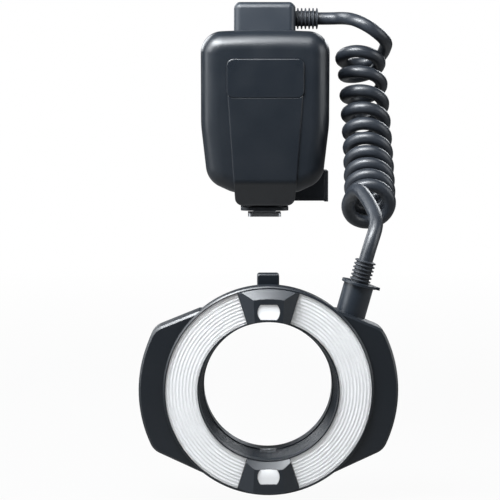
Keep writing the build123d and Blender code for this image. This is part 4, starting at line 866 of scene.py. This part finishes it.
class RINGFLASH_OT_baffle_rings(bpy.types.Operator):
    """Line the head's eye with fine rings that keep stray light down"""

    bl_idname = "ringflash.baffle_rings"
    bl_label = "Baffle rings"

    def execute(self, context):
        settings = context.scene.ringflash_baffles
        finish = context.scene.ringflash_finish
        sizes = {
            "Count": settings.count,
            "Pitch": settings.pitch,
            "Radius": settings.first_radius,
            "Taper": settings.taper,
            "Section": settings.section,
        }
        material = moulded_plastic(
            "baffle_plastic", grown_from(finish.shell_colour, 1.2), 0.3, 0.0004, 0.000006, None
        )
        tree = tree_with_inputs("Baffle rings", sizes)
        nodes, links = tree.nodes, tree.links
        sizes_in = nodes.new("NodeGroupInput")
        row = nodes.new("GeometryNodeMeshLine")
        step = nodes.new("ShaderNodeCombineXYZ")
        links.new(sizes_in.outputs["Pitch"], step.inputs["Z"])
        links.new(sizes_in.outputs["Count"], row.inputs["Count"])
        links.new(step.outputs["Vector"], row.inputs["Offset"])
        ring = nodes.new("GeometryNodeCurvePrimitiveCircle")
        ring.inputs["Resolution"].default_value = BAFFLE_FACETS
        links.new(sizes_in.outputs["Radius"], ring.inputs["Radius"])
        section = nodes.new("GeometryNodeCurvePrimitiveCircle")
        section.inputs["Resolution"].default_value = BAFFLE_SECTION_FACETS
        links.new(sizes_in.outputs["Section"], section.inputs["Radius"])
        tube = nodes.new("GeometryNodeCurveToMesh")
        links.new(ring.outputs["Curve"], tube.inputs["Curve"])
        links.new(section.outputs["Curve"], tube.inputs["Profile Curve"])
        index = nodes.new("GeometryNodeInputIndex")
        shrink = nodes.new("ShaderNodeMath")
        shrink.operation = "MULTIPLY"
        links.new(index.outputs["Index"], shrink.inputs[0])
        links.new(sizes_in.outputs["Taper"], shrink.inputs[1])
        scale = nodes.new("ShaderNodeMath")
        scale.operation = "SUBTRACT"
        scale.inputs[0].default_value = 1.0
        links.new(shrink.outputs["Value"], scale.inputs[1])
        copies = nodes.new("GeometryNodeInstanceOnPoints")
        links.new(row.outputs["Mesh"], copies.inputs["Points"])
        links.new(tube.outputs["Mesh"], copies.inputs["Instance"])
        links.new(scale.outputs["Value"], copies.inputs["Scale"])
        close_tree(tree, copies.outputs["Instances"], material)
        place = Matrix.Translation((0, HEAD_FRONT + BAFFLE_DEPTH, HEAD_HEIGHT)) @ Matrix.Rotation(
            radians(-90), 4, "X"
        )
        link_piece(grown_mesh(tree, "baffle_rings", sizes, place))
        return {"FINISHED"}


class RINGFLASH_OT_screw_drives(bpy.types.Operator):
    """Mark the cross recess on each screw head with dark bars of painted shade"""

    bl_idname = "ringflash.screw_drives"
    bl_label = "Screw recesses"

    def execute(self, context):
        # Painted shade: dark bars stand in for the shade inside each recess
        material = rubber("recess_shadow", (0.006, 0.006, 0.007), 0.6, None)
        tree = tree_with_inputs("Screw recesses", SCREW_RECESS)
        nodes, links = tree.nodes, tree.links
        sizes_in = nodes.new("NodeGroupInput")
        across = nodes.new("ShaderNodeCombineXYZ")
        upright = nodes.new("ShaderNodeCombineXYZ")
        for combine, long_side, short_side in ((across, "X", "Z"), (upright, "Z", "X")):
            links.new(sizes_in.outputs["Length"], combine.inputs[long_side])
            links.new(sizes_in.outputs["Width"], combine.inputs[short_side])
            links.new(sizes_in.outputs["Depth"], combine.inputs["Y"])
        bars = nodes.new("GeometryNodeJoinGeometry")
        for combine in (across, upright):
            bar = nodes.new("GeometryNodeMeshCube")
            links.new(combine.outputs["Vector"], bar.inputs["Size"])
            links.new(bar.outputs["Mesh"], bars.inputs["Geometry"])
        close_tree(tree, bars.outputs["Geometry"], material)
        recess = grown_mesh(tree, "screw_recess_seed", SCREW_RECESS, Matrix.Identity(4))
        for node in ("unit_screws", "head_screws"):
            low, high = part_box(node)
            heads = screw_heads(node, low, high)
            mesh = bpy.data.meshes.new(node + "_recesses")
            join_copies(mesh, recess.data, heads)
            mesh.materials.append(material)
            link_piece(bpy.data.objects.new(node + "_recesses", mesh))
        bpy.data.objects.remove(recess)
        return {"FINISHED"}


# Stage


def aim(piece, target):
    """Turns a lamp so that it shines on a target."""
    piece.rotation_euler = (Vector(target) - piece.location).to_track_quat("-Z", "Y").to_euler()


def softbox(name, place, target, size, power):
    """A rectangular area lamp."""
    data = bpy.data.lights.new(name, "AREA")
    data.shape = "RECTANGLE"
    data.size = size[0]
    data.size_y = size[1]
    data.energy = power
    data.color = LAMP_COLOUR
    lamp = bpy.data.objects.new(name, data)
    lamp.location = place
    bpy.context.scene.collection.objects.link(lamp)
    aim(lamp, target)


def white_for_camera(name, colour):
    """A pale surface that the camera sees as plain white, and that still takes a soft shadow."""
    material, nodes, links, shader, place = new_material(name)
    shade = noise(nodes, links, place, 0.2)
    links.new(tinted(nodes, links, shade, colour, 0.99, 1.0), shader.inputs["Base Color"])
    shader.inputs["Roughness"].default_value = 0.8
    glow = nodes.new("ShaderNodeEmission")
    glow.inputs["Color"].default_value = WHITE
    mix = nodes.new("ShaderNodeMixShader")
    path = nodes.new("ShaderNodeLightPath")
    reach = nodes.new("ShaderNodeVectorMath")
    reach.operation = "LENGTH"
    links.new(place, reach.inputs[0])
    fade = nodes.new("ShaderNodeMapRange")
    fade.inputs["From Min"].default_value = WHITE_STARTS
    fade.inputs["From Max"].default_value = WHITE_FULL
    fade.inputs["To Min"].default_value = WHITE_AT_START
    fade.inputs["To Max"].default_value = 1.0
    links.new(reach.outputs["Value"], fade.inputs["Value"])
    seen = nodes.new("ShaderNodeMath")
    seen.operation = "MULTIPLY"
    links.new(fade.outputs["Result"], seen.inputs[1])
    links.new(path.outputs["Is Camera Ray"], seen.inputs[0])
    links.new(seen.outputs["Value"], mix.inputs["Fac"])
    links.new(shader.outputs["BSDF"], mix.inputs[1])
    links.new(glow.outputs["Emission"], mix.inputs[2])
    links.new(mix.outputs["Shader"], nodes["Material Output"].inputs["Surface"])
    return material


class RINGFLASH_OT_stage(bpy.types.Operator):
    """Set up the floor, the surroundings, the lamps and the camera"""

    bl_idname = "ringflash.stage"
    bl_label = "Stage"

    def execute(self, context):
        scene = context.scene
        settings = scene.ringflash_stage
        height = CAD_BOX[0].z - settings.floor_gap
        mesh = bpy.data.meshes.new("floor")
        mesh.from_pydata(
            [
                (-FLOOR_HALF, -FLOOR_HALF, height),
                (FLOOR_HALF, -FLOOR_HALF, height),
                (FLOOR_HALF, FLOOR_HALF, height),
                (-FLOOR_HALF, FLOOR_HALF, height),
            ],
            [],
            [(0, 1, 2, 3)],
        )
        mesh.materials.append(white_for_camera("pale_floor", FLOOR_COLOUR))
        floor = bpy.data.objects.new("floor", mesh)
        scene.collection.objects.link(floor)

        world = bpy.data.worlds.new("surroundings")
        world.use_nodes = True
        nodes, links = world.node_tree.nodes, world.node_tree.links
        backdrop = nodes["Background"]
        backdrop.inputs["Color"].default_value = WHITE
        path = nodes.new("ShaderNodeLightPath")
        seen = nodes.new("ShaderNodeMath")
        seen.operation = "MAXIMUM"
        links.new(path.outputs["Is Camera Ray"], seen.inputs[0])
        seen.inputs[1].default_value = settings.world_strength
        links.new(seen.outputs["Value"], backdrop.inputs["Strength"])
        scene.world = world

        for name, place, target, size, source, share in SOFTBOXES:
            softbox(name, place, target, size, getattr(settings, source) * share)

        data = bpy.data.cameras.new("camera")
        data.lens = settings.camera_lens
        data.sensor_width = SENSOR_WIDTH
        data.clip_end = CLIP_END
        camera = bpy.data.objects.new("camera", data)
        camera.location = settings.camera_place
        camera.rotation_euler = (radians(90) - settings.camera_pitch, 0, -settings.camera_yaw)
        scene.collection.objects.link(camera)
        scene.camera = camera
        scene.view_settings.view_transform = "Standard"
        return {"FINISHED"}


class RINGFLASH_PT_panel(bpy.types.Panel):
    """Sizes, colours and pieces of the ring flash"""

    bl_idname = "RINGFLASH_PT_panel"
    bl_label = "Ring flash"
    bl_space_type = "VIEW_3D"
    bl_region_type = "UI"
    bl_category = "Ring flash"

    def draw(self, context):
        layout = self.layout
        for group_name, group_class in GROUPS.items():
            box = layout.box()
            for name in group_class.__annotations__:
                box.prop(getattr(context.scene, group_name), name)
        for operator in OPERATORS:
            layout.operator(operator.bl_idname)


GROUPS = {
    "ringflash_stage": StageSettings,
    "ringflash_finish": FinishSettings,
    "ringflash_cord": CordSettings,
    "ringflash_baffles": BaffleSettings,
}
OPERATORS = (
    RINGFLASH_OT_stage,
    RINGFLASH_OT_cord,
    RINGFLASH_OT_shell_finish,
    RINGFLASH_OT_rubber_finish,
    RINGFLASH_OT_metal_finish,
    RINGFLASH_OT_optics_finish,
    RINGFLASH_OT_electronics_finish,
    RINGFLASH_OT_baffle_rings,
    RINGFLASH_OT_screw_drives,
)


def register():
    for name, group in GROUPS.items():
        bpy.utils.register_class(group)
        setattr(bpy.types.Scene, name, PointerProperty(type=group))
    for operator in OPERATORS:
        bpy.utils.register_class(operator)
    bpy.utils.register_class(RINGFLASH_PT_panel)


def unregister():
    bpy.utils.unregister_class(RINGFLASH_PT_panel)
    for operator in reversed(OPERATORS):
        bpy.utils.unregister_class(operator)
    for name, group in reversed(GROUPS.items()):
        delattr(bpy.types.Scene, name)
        bpy.utils.unregister_class(group)


def main():
    register()
    bpy.ops.ringflash.stage()
    bpy.ops.ringflash.cord()
    bpy.ops.ringflash.shell_finish()
    bpy.ops.ringflash.rubber_finish()
    bpy.ops.ringflash.metal_finish()
    bpy.ops.ringflash.optics_finish()
    bpy.ops.ringflash.electronics_finish()
    bpy.ops.ringflash.baffle_rings()
    bpy.ops.ringflash.screw_drives()


if __name__ == "__main__":
    main()
